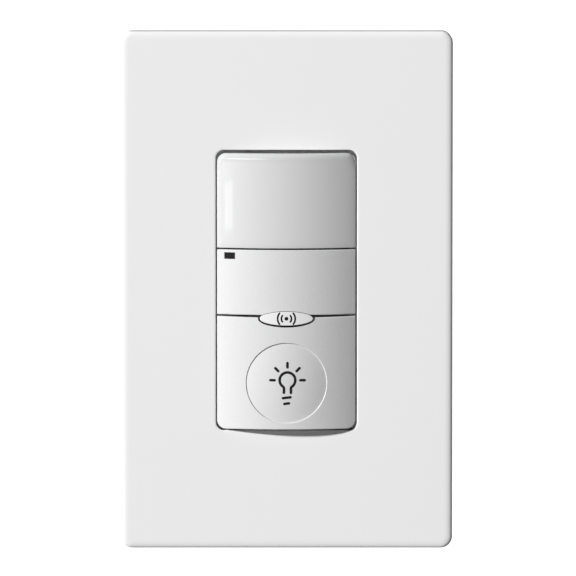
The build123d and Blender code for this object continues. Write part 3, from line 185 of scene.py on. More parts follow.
def masked_board(name):
    """Solder mask over tracks: the seams of a brick pattern, a little raised, between faint patches."""
    material = new_material(name)
    place = add(material, "ShaderNodeTexCoord")
    turn = add(material, "ShaderNodeMapping", Rotation=(math.radians(90), 0.0, 0.0))
    tracks = add(material, "ShaderNodeTexBrick", Scale=1 / (TRACK_PITCH * MM) / ROWS_PER_UNIT,
                 Mortar_Size=TRACK_WIDTH, Color1=BLACK, Color2=PATCH, Mortar=WHITE)
    link(material, place.outputs["Object"], turn.inputs["Vector"])
    link(material, turn.outputs["Vector"], tracks.inputs["Vector"])
    colours = tinted(material, tracks.outputs["Color"], MASK_GREEN, TRACK_GREEN)
    link(material, colours, shader_of(material).inputs["Base Color"])
    weave = spread(material, speckle(material, WEAVE), *MASK_GLOSS)
    link(material, weave, shader_of(material).inputs["Roughness"])
    embossed(material, tracks.outputs["Color"], TRACK_RISE)
    return material


green_board = masked_board("green_board")
dress(green_board, "power_board", "sensor_board")

# Film capacitor. Wound film in a moulded box that is filled with epoxy, in the usual dull yellow. It
# stands on the power board.
CAPACITOR_YELLOW = (0.62, 0.42, 0.05)
capacitor_box = finish("capacitor_box", CAPACITOR_YELLOW, roughness=0.45, grain=0.35, relief=0.008)
dress(capacitor_box, "film_capacitor")

# Smoothing capacitors. Two drawn aluminium cans in a shrunk black sleeve that leaves their tops bare.
# They stand upright on the power board.
SLEEVE = (0.03, 0.032, 0.045)
CAN_TOP = (0.70, 0.71, 0.72)
BARE_DEPTH = 0.12
STEP_HALF = 0.05
can_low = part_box("smoothing_capacitors")[0]
sleeved_can = finish("sleeved_can", SLEEVE, roughness=0.35, grain=0.5, relief=0.004)


def split_at(material, axis, level, below):
    """1 on one side of a level along an axis, in metres, and 0 on the other, with a narrow step between."""
    place = add(material, "ShaderNodeTexCoord")
    parts = add(material, "ShaderNodeSeparateXYZ")
    ends = (1.0, 0.0) if below else (0.0, 1.0)
    step = add(material, "ShaderNodeMapRange", From_Min=level - STEP_HALF * MM,
               From_Max=level + STEP_HALF * MM, To_Min=ends[0], To_Max=ends[1])
    link(material, place.outputs["Object"], parts.inputs["Vector"])
    link(material, parts.outputs[axis], step.inputs["Value"])
    return step.outputs["Result"]


def blended(material, colour, metal, share):
    """Change the base colour to another where a share is 1, and make that place metal if wanted."""
    shader = shader_of(material)
    old = shader.inputs["Base Color"].links[0].from_socket
    mix = add(material, "ShaderNodeMix", data_type="RGBA", B=(*colour, 1.0))
    link(material, share, mix.inputs["Factor"])
    link(material, old, mix.inputs["A"])
    link(material, mix.outputs["Result"], shader.inputs["Base Color"])
    if metal:
        link(material, share, shader.inputs["Metallic"])


blended(sleeved_can, CAN_TOP, True, split_at(sleeved_can, "Y", can_low.y + BARE_DEPTH * MM, True))
dress(sleeved_can, "smoothing_capacitors")

# Varistor, rectifier and chips. Epoxy dipped or moulded round their dies: the disc is blue with an
# orange-peel skin, the others are matt black.
DIPPED_BLUE = (0.03, 0.12, 0.34)
EPOXY_BLACK = (0.022, 0.022, 0.024)
dipped_disc = finish("dipped_disc", DIPPED_BLUE, roughness=0.3, grain=0.6, relief=0.02)
dress(dipped_disc, "varistor")
moulded_epoxy = finish("moulded_epoxy", EPOXY_BLACK, roughness=0.55, grain=0.15, relief=0.005, mottle=0.1)
dress(moulded_epoxy, "rectifier", "controller_chip", "board_header")

# Fuse. A glass tube round a thin wire, with a nickel-plated cap pressed on each end. It lies flat on
# the power board.
NICKEL = (0.66, 0.64, 0.60)
FUSE_GLASS = (0.86, 0.90, 0.88)
FUSE_CAP = 2.4
fuse_low, fuse_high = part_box("fuse")
fuse_glass = finish("fuse_glass", FUSE_GLASS, roughness=0.12, grain=0.8, relief=0.002, mottle=0.03)
for at, below in ((fuse_low.x + FUSE_CAP * MM, True), (fuse_high.x - FUSE_CAP * MM, False)):
    blended(fuse_glass, NICKEL, below, split_at(fuse_glass, "X", at, below))
dress(fuse_glass, "fuse")

# Choke. A ferrite drum, ground dark grey, wound with enamelled wire between its flanges. It stands on
# the power board and keeps the switching noise out of the mains.
FERRITE = (0.05, 0.048, 0.045)
ENAMEL = (0.48, 0.17, 0.055)
CHOKE_FLANGE = 1.5
choke_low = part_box("choke")[0]
drum = finish("ferrite_drum", FERRITE, roughness=0.5, grain=0.3, relief=0.006)
behind_flange = split_at(drum, "Y", choke_low.y + CHOKE_FLANGE * MM, False)
blended(drum, ENAMEL, False, behind_flange)
dress(drum, "choke")

# Relay. A sealed blue case over a coil, a rocking armature and a pair of contacts on a black base. The
# coil is enamelled wire on a moulded bobbin, yoke and armature are soft iron, and the contacts are brass.
CASE_BLUE = (0.02, 0.085, 0.30)
SOFT_IRON = (0.46, 0.45, 0.43)
BRASS = (0.44, 0.31, 0.13)
WIRE_PITCH = 0.35
WIRE_RISE = 0.06
WIRE_WANDER = 0.4
BANDS_PER_UNIT = 10 / math.pi


def wound(material, axis):
    """Turns of wire as round ridges across an axis."""
    place = add(material, "ShaderNodeTexCoord")
    ridges = add(material, "ShaderNodeTexWave", bands_direction=axis, Distortion=WIRE_WANDER,
                 Scale=1 / (WIRE_PITCH * MM) / BANDS_PER_UNIT, Detail_Scale=2.0)
    link(material, place.outputs["Object"], ridges.inputs["Vector"])
    embossed(material, ridges.outputs["Fac"], WIRE_RISE)


relay_shell = finish("relay_shell", CASE_BLUE, roughness=0.3, grain=0.4, relief=0.004)
dress(relay_shell, "relay_case")
dress(moulded_epoxy, "relay_base", "relay_bobbin")
soft_iron = finish("soft_iron", SOFT_IRON, roughness=0.4, grain=0.5, relief=0.004, mottle=0.08, metal=1.0)
dress(soft_iron, "relay_yoke", "relay_armature")
copper_wire = finish("copper_wire", ENAMEL, roughness=0.28, grain=0.4, relief=0.003, mottle=0.1,
                     metal=0.6)
wound(copper_wire, "Y")
dress(copper_wire, "relay_winding")
turned_brass = finish("turned_brass", BRASS, roughness=0.3, grain=0.5, relief=0.003, mottle=0.08,
                      metal=1.0)
dress(turned_brass, "relay_contacts", "line_terminal", "load_terminal", "terminal_screws", "header_pins")

# Ground screw. Hexagon-headed steel, passivated green so that an installer knows it. It turns into a
# folded tab of the strap.
GROUND_GREEN = (0.03, 0.26, 0.08)
green_passivate = finish("green_passivate", GROUND_GREEN, roughness=0.32, grain=0.4, relief=0.004,
                         mottle=0.1, metal=0.7)
dress(green_passivate, "ground_screw")

# Infrared sensor. A drawn and tinned steel can with a dark silicon filter, which sees through the lens.
# It stands on the sensor board, where its leads are soldered.
TINNED = (0.52, 0.52, 0.51)
SILICON = (0.03, 0.024, 0.035)
tinned_can = finish("tinned_can", TINNED, roughness=0.25, grain=0.6, relief=0.003, mottle=0.06, metal=1.0)
dress(tinned_can, "pir_can", "pir_leads")
silicon_filter = finish("silicon_filter", SILICON, roughness=0.06, grain=0.8, relief=0.001, mottle=0.1)
dress(silicon_filter, "pir_window")

# Light sensor and indicator. Clear epoxy cast round their dies, with a faint water-green tint. Both stand
# on the sensor board, the indicator behind the status window.
CLEAR_EPOXY = (0.80, 0.88, 0.84)
clear_epoxy = finish("clear_epoxy", CLEAR_EPOXY, roughness=0.08, grain=0.6, relief=0.002, mottle=0.02,
                     Transmission_Weight=0.7, IOR=1.52)
dress(clear_epoxy, "light_sensor", "indicator_led")

# Tactile switch. A black glass-filled body under a sprung steel cover, with a plunger over a snap dome.
# The dome is stamped from thin steel, and flattens when the push panel moves the plunger.
SPRING_STEEL = (0.46, 0.46, 0.45)
dress(moulded_epoxy, "tact_switch_body", "tact_plunger")
spring_steel = finish("spring_steel", SPRING_STEEL, roughness=0.22, grain=0.5, relief=0.002, mottle=0.05,
                      metal=1.0)
dress(spring_steel, "tact_switch_cover", "hinge_pins")
DOME_WALL = 0.12
DOME_RINGS = 14
DOME_SIDES = 48
WELD = 0.003
POINT_MATCH = 1e-5


def arc_points(middle, radius, first, last, steps):
    """Points along an arc, with angles in degrees."""
    turns = [math.radians(first + (last - first) * i / steps) for i in range(steps + 1)]
    return [(middle[0] + radius * math.cos(t), middle[1] + radius * math.sin(t)) for t in turns]


def circle_points(middle, radius, sides):
    """Points all round a circle."""
    return arc_points(middle, radius, 0, 360 - 360 / sides, sides - 1)


def placed(name, data):
    """An object of a mesh, a lamp or a camera, put in the scene."""
    piece = bpy.data.objects.new(name, data)
    bpy.context.scene.collection.objects.link(piece)
    return piece


class Skin:
    """A mesh made ring by ring, in millimetres."""

    def __init__(self):
        self.points, self.faces, self.last = [], [], None

    def ring(self, outline, depth):
        """Add a ring at a depth, which may depend on the place, and join it to the ring before."""
        start = len(self.points)
        self.points += [(x, depth(x, z) if callable(depth) else depth, z) for x, z in outline]
        if self.last is not None:
            self.join(self.last, start, len(outline))
        self.last = start
        return start

    def join(self, one, other, count):
        """Join two rings of as many points with four-sided faces."""
        for i in range(count):
            j = (i + 1) % count
            self.faces.append([one + i, one + j, other + j, other + i])

    def cap(self, outline, depth, spacing):
        """Close a ring with a curved sheet: a grid of points inside it, joined to the ring."""
        loop = [Vector(p) for p in outline]
        low = [min(p[k] for p in outline) for k in (0, 1)]
        high = [max(p[k] for p in outline) for k in (0, 1)]
        counts = [max(2, round((high[k] - low[k]) / spacing[k])) for k in (0, 1)]
        steps = [(high[k] - low[k]) / counts[k] for k in (0, 1)]
        grid = [Vector((low[0] + steps[0] * i, low[1] + steps[1] * j))
                for i in range(1, counts[0]) for j in range(1, counts[1])]
        ring = [list(range(len(loop)))]
        flat, _, triangles, _, _, _ = delaunay_2d_cdt(loop + grid, [], ring, 1, POINT_MATCH)
        start = len(self.points)
        self.points += [(p.x, depth(p.x, p.y), p.y) for p in flat]
        self.faces += [[start + i for i in t] for t in triangles]

    def piece(self, name, material, body, nodes, slot):
        """The finished object, welded, facing outwards, riding on a body and standing for CAD nodes."""
        mesh = bpy.data.meshes.new(name)
        mesh.from_pydata([tuple(c * MM for c in p) for p in self.points], [], self.faces)
        shaped = bmesh.new()
        shaped.from_mesh(mesh)
        bmesh.ops.remove_doubles(shaped, verts=shaped.verts, dist=WELD * MM)
        bmesh.ops.dissolve_degenerate(shaped, edges=shaped.edges, dist=WELD * MM)
        bmesh.ops.recalc_face_normals(shaped, faces=shaped.faces)
        shaped.to_mesh(mesh)
        shaped.free()
        made = placed(name, mesh)
        coat(made, material)
        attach(made, body)
        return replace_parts(made, *nodes)


def dome_rise(away, radius, rise):
    """How high a shallow ball-shaped dome stands at a distance from its axis."""
    ball = (radius**2 + rise**2) / (2 * rise)
    return math.sqrt(ball**2 - away**2) - (ball - rise)


dome_low, dome_high = (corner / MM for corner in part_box("tact_dome"))
dome_radius = (dome_high.x - dome_low.x) / 2
dome_height = dome_high.y - dome_low.y
dome_level = (dome_low.z + dome_high.z) / 2
dome_reaches = [dome_radius * (i + 1) / DOME_RINGS for i in range(DOME_RINGS)]
snap = Skin()
for wall, reaches in ((0.0, dome_reaches), (DOME_WALL, dome_reaches[::-1])):
    for reach in reaches:
        height = max(0.0, dome_rise(reach, dome_radius, dome_height) - wall)
        first = snap.ring(circle_points((0, dome_level), reach, DOME_SIDES), dome_high.y - height)
        if reach == dome_reaches[0]:
            snap.faces.append([first + i for i in range(DOME_SIDES)])
snap_dome = snap.piece("snap_dome", spring_steel, "root", ["tact_dome"], "spring_steel")
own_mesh(snap_dome)

# Dials and mode switch. Slotted white nylon knobs on blue trimmers, and four white sliders in a
# black body, which set the time, the range and the modes once the access cover is off.
TRIMMER_BLUE = (0.03, 0.14, 0.42)
KNOB_WHITE = (0.70, 0.70, 0.68)
trimmer_case = finish("trimmer_case", TRIMMER_BLUE, roughness=0.4, grain=0.3, relief=0.006)
dress(trimmer_case, "trimmer_bodies")
nylon_white = finish("nylon_white", KNOB_WHITE, roughness=0.42, grain=0.3, relief=0.006, mottle=0.02)
dress(nylon_white, "time_dial", "range_dial", *[f"mode_slider_{i}" for i in (1, 2, 3, 4)])
dress(moulded_epoxy, "mode_switch_body")

# Front housing and strap. A grey moulded nose that carries the face, and a steel strap that is blanked
# from galvanised strip. Red fibre washers keep the loose screws in the strap, and a black shroud keeps
# stray light off the infrared sensor.
# The nose's grey is partly its own colour and partly painted shade: it is kept dark so that the narrow gaps
# round the face, where it shows, look shadowed.
NOSE_GREY_WITH_GAP_SHADE = (0.15, 0.152, 0.155)
GALVANISED = (0.40, 0.41, 0.42)
FIBRE_RED = (0.42, 0.055, 0.03)
nose_plastic_gap_shade = finish("nose_plastic_gap_shade", NOSE_GREY_WITH_GAP_SHADE, roughness=0.5, grain=0.3, relief=0.008)
dress(nose_plastic_gap_shade, "front_housing")
strap_steel = finish("strap_steel", GALVANISED, roughness=0.4, grain=1.1, relief=0.004, mottle=0.14,
                     metal=1.0, stretch=(1.0, 1.0, 0.5))
dress(strap_steel, "mounting_strap")
fibre_washer = finish("fibre_washer", FIBRE_RED, roughness=0.7, grain=0.25, relief=0.012, mottle=0.12)
dress(fibre_washer, "screw_retainers")
shroud_black = finish("shroud_black", EPOXY_BLACK, roughness=0.6, grain=0.3, relief=0.008)
dress(shroud_black, "lens_shroud")

# Subframe. A ribbed grey frame that two grey-headed screws hold to the strap, for the wall plate to
# snap over.
FRAME_GREY = (0.30, 0.302, 0.305)
frame_plastic = finish("frame_plastic", FRAME_GREY, roughness=0.45, grain=0.4, relief=0.008)
dress(frame_plastic, "plate_subframe")
painted_screw = finish("painted_screw", FRAME_GREY, roughness=0.3, grain=0.5, relief=0.003)
dress(painted_screw, "plate_screws")

# Sensor lens. A thin shell of milky polyethylene with a polished outer skin and softly rolled edges. Its
# grooves are inside, so the outside is smooth, and light spreads in it a little.
MILKY = (0.556, 0.556, 0.559)
FACE_RADIUS = 48.0
FACE_CROWN = -9.6
LENS_WALL = 0.8
LENS_CORNERS = (0.3, 2.1)
LENS_ROLL = (2.5, 1.0, 2.6)
LENS_SIDE_ROLL = 0.1
LENS_CROWN_ROLL = 4.0
LENS_SKIRT = -2.3
LENS_SEAT = -4.68
LENS_RIM = 1.6
LENS_GRID = (0.6, 2.0)
CORNER_LEAST = 0.02
CORNER_STEPS = 10
SIDE_STEPS = 28
ROLL_STEPS = 12
lens_low, lens_high = (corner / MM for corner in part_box("fresnel_lens"))


def side_points(start, end):
    """The points of a straight side between its two ends."""
    shares = [i / SIDE_STEPS for i in range(1, SIDE_STEPS)]
    return [tuple(a + (b - a) * share for a, b in zip(start, end)) for share in shares]


def rounded_ring(half, low, high, corners, inset):
    """Points of an upright outline with its low and high corner radii, drawn in by an inset."""
    points = []
    for side, top, first in ((1, 0, -90), (1, 1, 0), (-1, 1, 90), (-1, 0, 180)):
        radius = max(corners[top] - inset, CORNER_LEAST)
        level = high - inset - radius if top else low + inset + radius
        arc = arc_points((side * (half - inset - radius), level), radius, first, first + 90, CORNER_STEPS)
        points += (side_points(points[-1], arc[0]) if points else []) + arc
    return points + side_points(points[-1], points[0])


def rolled(inset, reach, drop, power):
    """How far an edge has rolled back at an inset: a quarter oval of a reach, a drop and a squareness."""
    share = max(0.0, 1 - inset / reach)
    return drop * (1 - (1 - share**power) ** (1 / power))


def face_depth(across):
    """Depth of the curved face that lens, cover and panel share."""
    return FACE_CROWN + FACE_RADIUS - math.sqrt(FACE_RADIUS**2 - across**2)


def insets(reach):
    """Insets from the outline to the end of a roll, close together at the outline."""
    return [reach * (1 - math.cos(math.pi / 2 * i / ROLL_STEPS)) for i in range(ROLL_STEPS + 1)]


def lens_front(inset):
    """Depth of the lens's outside along a ring, rolled back most along its upper edge."""
    def depth(x, z):
        height = max(0.0, 1 - (lens_high.z - z) / LENS_CROWN_ROLL)
        share = LENS_SIDE_ROLL + (1 - LENS_SIDE_ROLL) * height * height * (3 - 2 * height)
        return face_depth(x) + share * rolled(inset, *LENS_ROLL)
    return depth


def lens_inside(x, z):
    """Depth of the lens's inside, one wall behind the shared face."""
    return face_depth(x) + LENS_WALL


def lens_back(x, z):
    """Depth of the lens's rim, which stops short of the nose along the seam."""
    along_seam = z < lens_low.z + LENS_RIM and abs(x) < lens_high.x - LENS_RIM
    return LENS_SEAT if along_seam else LENS_SKIRT


milky_lens = finish("milky_lens", MILKY, roughness=0.12, grain=2.2, relief=0.003, mottle=0.006,
                    Coat_Weight=1.0, Coat_Roughness=0.015)
shell = Skin()
lens_outline = (lens_high.x, lens_low.z, lens_high.z, LENS_CORNERS)
shell.cap(rounded_ring(*lens_outline, LENS_WALL), lens_inside, LENS_GRID)
shell.ring(rounded_ring(*lens_outline, LENS_WALL), lens_inside)
shell.ring(rounded_ring(*lens_outline, LENS_WALL), lens_back)
for inset in insets(LENS_ROLL[0]):
    if not inset:
        shell.ring(rounded_ring(*lens_outline, 0.0), lens_back)
    shell.ring(rounded_ring(*lens_outline, inset), lens_front(inset))
shell.cap(rounded_ring(*lens_outline, LENS_ROLL[0]), lens_front(LENS_ROLL[0]), LENS_GRID)
shell.piece("sensor_lens", milky_lens, "root", ["fresnel_lens"], "milky_lens")

# Access cover. The middle face piece in satin white, moulded with the same curve as the lens. It
# unclips forwards and takes the smoked status window and the oval badge with it.
FACE_WHITE = (0.632, 0.632, 0.635)
face_plastic = finish("face_plastic", FACE_WHITE, roughness=0.26, grain=0.22, relief=0.0016, mottle=0.006)
dress(face_plastic, "access_cover")
SMOKE = (0.012, 0.011, 0.011)
smoked_window = finish("smoked_window", SMOKE, roughness=0.35, grain=0.5, relief=0.002, mottle=0.6,
                       Specular_IOR_Level=0.06)
dress(smoked_window, "led_window")

# Oval badge. A glossy white insert at the cover's lower edge. It carries a printed sign for sensed
# movement: a dot between two pairs of arcs.
BADGE_WHITE = (0.76, 0.76, 0.765)
INK = (0.008, 0.008, 0.009)
BADGE_LEVEL = -6.4
BADGE_STROKE = 0.42
BADGE_DOT = 0.46
BADGE_ARCS = (1.2, 2.1)
BADGE_ARC_HALF = 38
BADGE_ARC_STEPS = 14
BADGE_DOT_SIDES = 24
STROKE_END_STEPS = 8
BADGE_PROUD = 0.2
INK_STANDS = 0.008
INK_SINKS = 0.03
INK_MATCH = 1e-6


def stroke_outline(points, half):
    """The outline of a pen stroke with round ends along a line of points."""
    directions = [(Vector(b) - Vector(a)).normalized() for a, b in zip(points, points[1:])]
    sides = []
    for i, point in enumerate(points):
        ahead = directions[min(i, len(directions) - 1)]
        behind = directions[max(i - 1, 0)]
        way = (ahead + behind).normalized()
        sides.append((Vector(point), Vector((-way.y, way.x)) * half))
    last_turn = math.degrees(math.atan2(directions[-1].y, directions[-1].x))
    first_turn = math.degrees(math.atan2(directions[0].y, directions[0].x))
    right = [tuple(p - s) for p, s in sides]
    left = [tuple(p + s) for p, s in reversed(sides)]
    end_cap = arc_points(points[-1], half, last_turn - 90, last_turn + 90, STROKE_END_STEPS)[1:-1]
    start_cap = arc_points(points[0], half, first_turn + 90, first_turn + 270, STROKE_END_STEPS)[1:-1]
    return right + end_cap + left + start_cap


def printed(name, outlines, surface, body):
    """Ink in the shape of several outlines, drawn in X and Z and laid on a surface, in millimetres."""
    points, faces = [], []
    for outline in outlines:
        loop = [Vector(p) for p in outline]
        ring = [list(range(len(loop)))]
        flat, _, triangles, _, _, _ = delaunay_2d_cdt(loop, [], ring, 1, INK_MATCH)
        base = len(points)
        count = len(flat)
        points += [(p.x, surface(p.x, p.y) - INK_STANDS, p.y) for p in flat]
        points += [(p.x, surface(p.x, p.y) + INK_SINKS, p.y) for p in flat]
        faces += [[base + i for i in t] for t in triangles]
        faces += [[base + count + i for i in reversed(t)] for t in triangles]
        edges = dict.fromkeys((a, b) for t in triangles for a, b in zip(t, t[1:] + t[:1]))
        walls = [(a, b) for a, b in edges if (b, a) not in edges]
        faces += [[base + a, base + count + a, base + count + b, base + b] for a, b in walls]
    mesh = bpy.data.meshes.new(name)
    mesh.from_pydata([tuple(c * MM for c in p) for p in points], [], faces)
    mesh.validate()
    mesh.materials.append(ink)
    piece = placed(name, mesh)
    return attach(piece, body)


def badge_surface(across, level):
    """Depth of the badge's front."""
    radius = FACE_RADIUS + BADGE_PROUD
    return FACE_CROWN + FACE_RADIUS - math.sqrt(radius**2 - across**2)


badge_gloss = finish("badge_gloss", BADGE_WHITE, roughness=0.16, grain=0.4, relief=0.001, mottle=0.006)
dress(badge_gloss, "oval_badge")
ink = finish("printed_ink", INK, roughness=0.6, grain=0.12, relief=0.001, mottle=0.2,
             Specular_IOR_Level=0.1)
signs = [circle_points((0, BADGE_LEVEL), BADGE_DOT, BADGE_DOT_SIDES)]
for side in (0, 180):
    ends = (side - BADGE_ARC_HALF, side + BADGE_ARC_HALF)
    for radius in BADGE_ARCS:
        line = arc_points((0, BADGE_LEVEL), radius, *ends, BADGE_ARC_STEPS)
        signs.append(stroke_outline(line, BADGE_STROKE / 2))
printed("movement_sign", signs, badge_surface, "front_cover")

# Push panel. The lower face piece, in the same satin white, tilts on two pins when its finger area is
# pressed. The area is a low pillow in a shallow round recess, printed with a light bulb.
BULB_ACROSS = 0.25
BULB_LEVEL = -21.15
BULB_STROKE = 0.64
BULB_RADIUS = 1.87
BULB_GAP_HALF = 40
BULB_STEPS = 40
NECK_HALF = 0.84
NECK_TOP = 2.3
NECK_END = 3.0
NECK_PULL = 0.5
NECK_STEPS = 8
RAY_TURNS = (0, 45, 90, 135, 180)
RAY_START = 3.08
RAY_END = 4.1
BASE_BARS = ((4.2, 0.9, 7.0), (5.62, 0.52, 8.0))
BASE_ACROSS = 0.06
FINGER_LEVEL = -21.9
FINGER_TOP = -9.75
FINGER_ACROSS = 36.0
FINGER_UP = 100.0


def finger_surface(across, level):
    """Depth of the pillow in the finger area."""
    drop = FINGER_UP - math.sqrt(FINGER_UP**2 - (level - FINGER_LEVEL) ** 2)
    reach = FINGER_ACROSS - drop
    return FINGER_TOP + FINGER_ACROSS - math.sqrt(reach**2 - across**2)


def eased(start, start_pull, end_pull, end, steps):
    """Points along a cubic curve after its start."""
    corners = [Vector(p) for p in (start, start_pull, end_pull, end)]
    found = []
    for i in range(1, steps + 1):
        t = i / steps
        weights = ((1 - t) ** 3, 3 * t * (1 - t) ** 2, 3 * t * t * (1 - t), t**3)
        found.append(tuple(sum((w * c for w, c in zip(weights, corners)), Vector((0, 0)))))
    return found


def bulb_line():
    """The glass of the bulb: a circle open at its foot, drawn in to a straight neck."""
    first = -90 + BULB_GAP_HALF
    glass = arc_points((0, 0), BULB_RADIUS, first, 180 - first, BULB_STEPS)
    left = glass[-1]
    turn = math.radians(180 - first)
    pull = (left[0] - math.sin(turn) * NECK_PULL, left[1] + math.cos(turn) * NECK_PULL)
    neck = eased(left, pull, (-NECK_HALF, -NECK_TOP + NECK_PULL), (-NECK_HALF, -NECK_TOP), NECK_STEPS)
    neck.append((-NECK_HALF, -NECK_END))
    other = [(-x, z) for x, z in reversed(neck)]
    return [(x + BULB_ACROSS, z + BULB_LEVEL) for x, z in other + glass + neck]


def straight_line(middle, turn, first, last):
    """Close points along a line through a middle, from one reach to another, so that ink bends with it."""
    way = (math.cos(math.radians(turn)), math.sin(math.radians(turn)))
    ends = [tuple(m + reach * w for m, w in zip(middle, way)) for reach in (first, last)]
    return [ends[0], *side_points(*ends), ends[1]]


dress(face_plastic, "push_panel")
strokes = [bulb_line()]
for turn in RAY_TURNS:
    strokes.append(straight_line((BULB_ACROSS, BULB_LEVEL), turn, RAY_START, RAY_END))
for below, half, tilt in BASE_BARS:
    strokes.append(straight_line((BASE_ACROSS, BULB_LEVEL - below), tilt, -half, half))
printed("bulb_sign", [stroke_outline(s, BULB_STROKE / 2) for s in strokes], finger_surface, "press_panel")

# Wall plate. A screwless tray in matt white, moulded with a soft edge all round, that snaps over the
# subframe with six legs and frames the face with a narrow shadow gap.
PLATE_WHITE = (0.81, 0.81, 0.81)
PLATE_CORNERS = (2.8, 2.8)
PLATE_WALLS = (1.8, 2.0)
PLATE_ROLL = (2.2, 0.8, 2.8)
OPENING = (33.76, 67.28)
OPENING_CORNER = 2.0
OPENING_ROLL = (0.6, 0.12, 2.4)
LEG_SIZE = (8.0, 1.2)
LEG_ACROSS = 20.0
LEG_PLACES = (37.0, 59.2)
LEG_FOOT = -1.5
LEG_LEAD = 0.4
LEG_LEAD_SHARE = 0.75
CORNER_WAYS = ((-1, -1), (1, -1), (1, 1), (-1, 1))
plate_low, plate_high = (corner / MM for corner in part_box("plate_cover"))
plate_rise = (plate_low.z + plate_high.z) / 2


def leg(skin, across, level, width, height):
    """A latch leg: a small block from the tray's inside back to the strap, narrower at its foot."""
    skin.last = None
    root, lead = plate_low.y + PLATE_WALLS[1] / 2, LEG_FOOT - LEG_LEAD
    for depth, share in ((root, 1.0), (lead, 1.0), (LEG_FOOT, LEG_LEAD_SHARE)):
        half_width, half_height = width / 2 * share, height / 2 * share
        corners = [(across + i * half_width, level + j * half_height) for i, j in CORNER_WAYS]
        start = skin.ring(corners, depth)
        if depth != lead:
            skin.faces.append([start + i for i in range(len(corners))])


plate_plastic = finish("plate_plastic", PLATE_WHITE, roughness=0.5, grain=0.25, relief=0.0016,
                       mottle=0.004, Specular_IOR_Level=0.0)
tray = Skin()
plate_outline = (plate_high.x, plate_low.z, plate_high.z, PLATE_CORNERS)
throat = (OPENING[0] / 2, plate_rise - OPENING[1] / 2, plate_rise + OPENING[1] / 2)
inner_front = plate_low.y + PLATE_WALLS[1]
for inset in reversed(insets(PLATE_ROLL[0])):
    tray.ring(rounded_ring(*plate_outline, inset), plate_low.y + rolled(inset, *PLATE_ROLL))
tray.ring(rounded_ring(*plate_outline, 0.0), 0.0)
tray.ring(rounded_ring(*plate_outline, PLATE_WALLS[0]), 0.0)
tray.ring(rounded_ring(*plate_outline, PLATE_WALLS[0]), inner_front)
tray.ring(rounded_ring(*throat, (OPENING_CORNER, OPENING_CORNER), 0.0), inner_front)
for reach in insets(OPENING_ROLL[0]):
    corner = OPENING_CORNER + reach
    ring = rounded_ring(throat[0] + reach, throat[1] - reach, throat[2] + reach, (corner, corner), 0.0)
    tray.ring(ring, plate_low.y + rolled(reach, *OPENING_ROLL))
tray.join(tray.last, 0, len(ring))
for side in (-1, 1):
    leg(tray, side * LEG_PLACES[0], 0.0, LEG_SIZE[1], LEG_SIZE[0])
    for across in (-LEG_ACROSS, LEG_ACROSS):
        leg(tray, across, side * LEG_PLACES[1], LEG_SIZE[0], LEG_SIZE[1])
tray.piece("wall_plate", plate_plastic, "wall_plate", ["plate_cover"], "white_plate")

# Floor. A wide pale sheet well below the switch, which hangs as it would on a wall. It looks white
# to the camera and in reflections, and still takes a soft shadow.
FLOOR_LEVEL = -0.125
FLOOR_HALF = 6.0
FLOOR_GLOW = (0.83, 1.0)
FLOOR_ALBEDO = (0.06, 0.34)
FLOOR_FADE = (0.8, 2.0)
FLOOR_ROUGHNESS = 0.9


def seen_directly(owner):
    """1 for rays from the camera, straight or by way of gloss or glass, and 0 for all others."""
    path = add(owner, "ShaderNodeLightPath")
    total = path.outputs["Is Camera Ray"]
    for output in ("Is Glossy Ray", "Is Transmission Ray"):
        either = add(owner, "ShaderNodeMath", operation="MAXIMUM")
        link(owner, total, either.inputs[0])
        link(owner, path.outputs[output], either.inputs[1])
        total = either.outputs["Value"]
    return total


floor_mesh = bpy.data.meshes.new("floor")
corners = [(x * FLOOR_HALF, y * FLOOR_HALF, 0.0) for x, y in CORNER_WAYS]
floor_mesh.from_pydata(corners, [], [list(range(len(corners)))])
floor = placed("floor", floor_mesh)
floor.location.z = FLOOR_LEVEL
paper = new_material("floor_paper")
shader_of(paper).inputs["Roughness"].default_value = FLOOR_ROUGHNESS
shader_of(paper).inputs["Emission Color"].default_value = WHITE
place = add(paper, "ShaderNodeTexCoord")
away = add(paper, "ShaderNodeVectorMath", operation="LENGTH")
fade = add(paper, "ShaderNodeMapRange", interpolation_type="SMOOTHSTEP", From_Min=FLOOR_FADE[0],
           From_Max=FLOOR_FADE[1], To_Min=FLOOR_GLOW[0], To_Max=FLOOR_GLOW[1])
glow = add(paper, "ShaderNodeMath", operation="MULTIPLY")
link(paper, place.outputs["Object"], away.inputs[0])
link(paper, away.outputs["Value"], fade.inputs["Value"])
link(paper, fade.outputs["Result"], glow.inputs[0])
seen = seen_directly(paper)
link(paper, seen, glow.inputs[1])
greys = [(albedo, albedo, albedo) for albedo in FLOOR_ALBEDO]
link(paper, tinted(paper, seen, *greys), shader_of(paper).inputs["Base Color"])
link(paper, glow.outputs["Value"], shader_of(paper).inputs["Emission Strength"])
floor_mesh.materials.append(paper)

# Studio light. A strong lamp from the left, the front and above, two weak ones in front that show as a
# strip and a line in the lens, and two lamps behind for the back of the housing.
LAMP_DISTANCE = 1.6
KEY_DISTANCE = 5.0
KEY_PLACE = (-1.55, -1.0, 0.66)
KEY_SIZE = 0.35
KEY_POWER = 424.0
STRIP_TURN = 34.6
STRIP_LEVEL = -0.057
STRIP_SIZE = (0.13, 0.022)
STRIP_POWER = 0.02
BAR_PLACE = (-0.41, -0.91, 0.20)
BAR_SIZE = (0.62, 0.12)
BAR_POWER = 1.1
BACK_PLACES = ((-1.1, 0.9, 0.05), (1.1, 0.66, 0.05))
BACK_SIZE = (0.5, 0.28)
BACK_POWER = 18.0
FILL = 0.02


def lamp(name, way, size, power, distance=LAMP_DISTANCE):
    """An area lamp at a distance, aimed at the switch."""
    data = bpy.data.lights.new(name, "AREA")
    data.shape = "RECTANGLE"
    data.size, data.size_y = size
    data.energy = power
    piece = placed(name, data)
    piece.location = Vector(way).normalized() * distance
    piece.rotation_euler = Vector(way).to_track_quat("Z", "Y").to_euler()


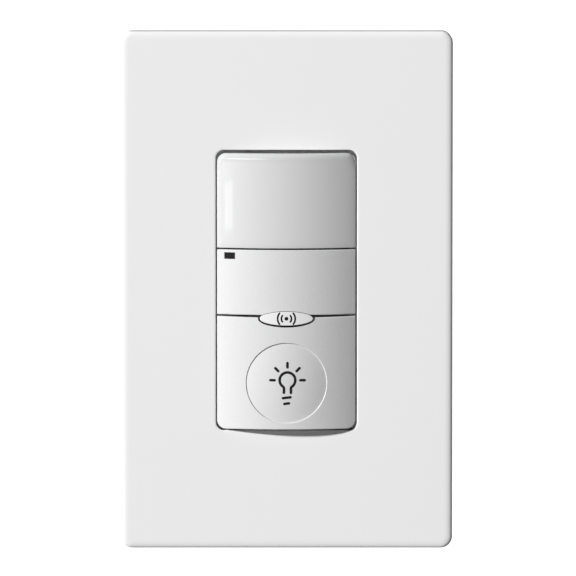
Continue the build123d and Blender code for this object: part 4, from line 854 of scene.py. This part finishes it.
lamp("key_lamp", KEY_PLACE, (KEY_SIZE, KEY_SIZE), KEY_POWER, KEY_DISTANCE)
strip_way = (-math.sin(math.radians(STRIP_TURN)), -math.cos(math.radians(STRIP_TURN)), STRIP_LEVEL)
lamp("strip_lamp", strip_way, STRIP_SIZE, STRIP_POWER)
lamp("bar_lamp", BAR_PLACE, BAR_SIZE, BAR_POWER)
for i, place in enumerate(BACK_PLACES, 1):
    lamp(f"back_lamp_{i}", place, BACK_SIZE, BACK_POWER)
world = bpy.data.worlds.new("studio")
bpy.context.scene.world = world
world.use_nodes = True
dim = world.node_tree.nodes["Background"]
dim.inputs["Color"].default_value = WHITE
dim.inputs["Strength"].default_value = FILL
bright = add(world, "ShaderNodeBackground", Color=WHITE, Strength=1.0)
choice = add(world, "ShaderNodeMixShader")
link(world, seen_directly(world), choice.inputs["Fac"])
link(world, dim.outputs["Background"], choice.inputs[1])
link(world, bright.outputs["Background"], choice.inputs[2])
link(world, choice.outputs["Shader"], world.node_tree.nodes["World Output"].inputs["Surface"])

# Camera. Straight on and a little above, from far away, as the photograph was taken. Its width of view
# and its small offsets put the plate where the photograph has it.
CAMERA_DISTANCE = 1.7
CAMERA_ELEVATION = 4.7
FRAME_WIDTH = 137.96
PLATE_FRONT = -6.5
OFF_CENTRE = 0.38
OFF_LEVEL = 0.43
SENSOR = 36.0
SEEN_DEPTHS = (0.05, 50.0)
camera_data = bpy.data.cameras.new("camera")
camera_data.sensor_width = SENSOR
camera_data.lens = SENSOR * CAMERA_DISTANCE / (FRAME_WIDTH * MM)
camera_data.clip_start = SEEN_DEPTHS[0]
camera_data.clip_end = SEEN_DEPTHS[1]
camera = placed("camera", camera_data)
rise = math.radians(CAMERA_ELEVATION)
target = Vector((OFF_CENTRE * MM, PLATE_FRONT * MM / 2, OFF_LEVEL * MM))
camera.location = target + CAMERA_DISTANCE * Vector((0.0, -math.cos(rise), math.sin(rise)))
camera.rotation_euler = (math.radians(90) - rise, 0.0, 0.0)
bpy.context.scene.camera = camera
bpy.context.scene.view_settings.view_transform = "Standard"
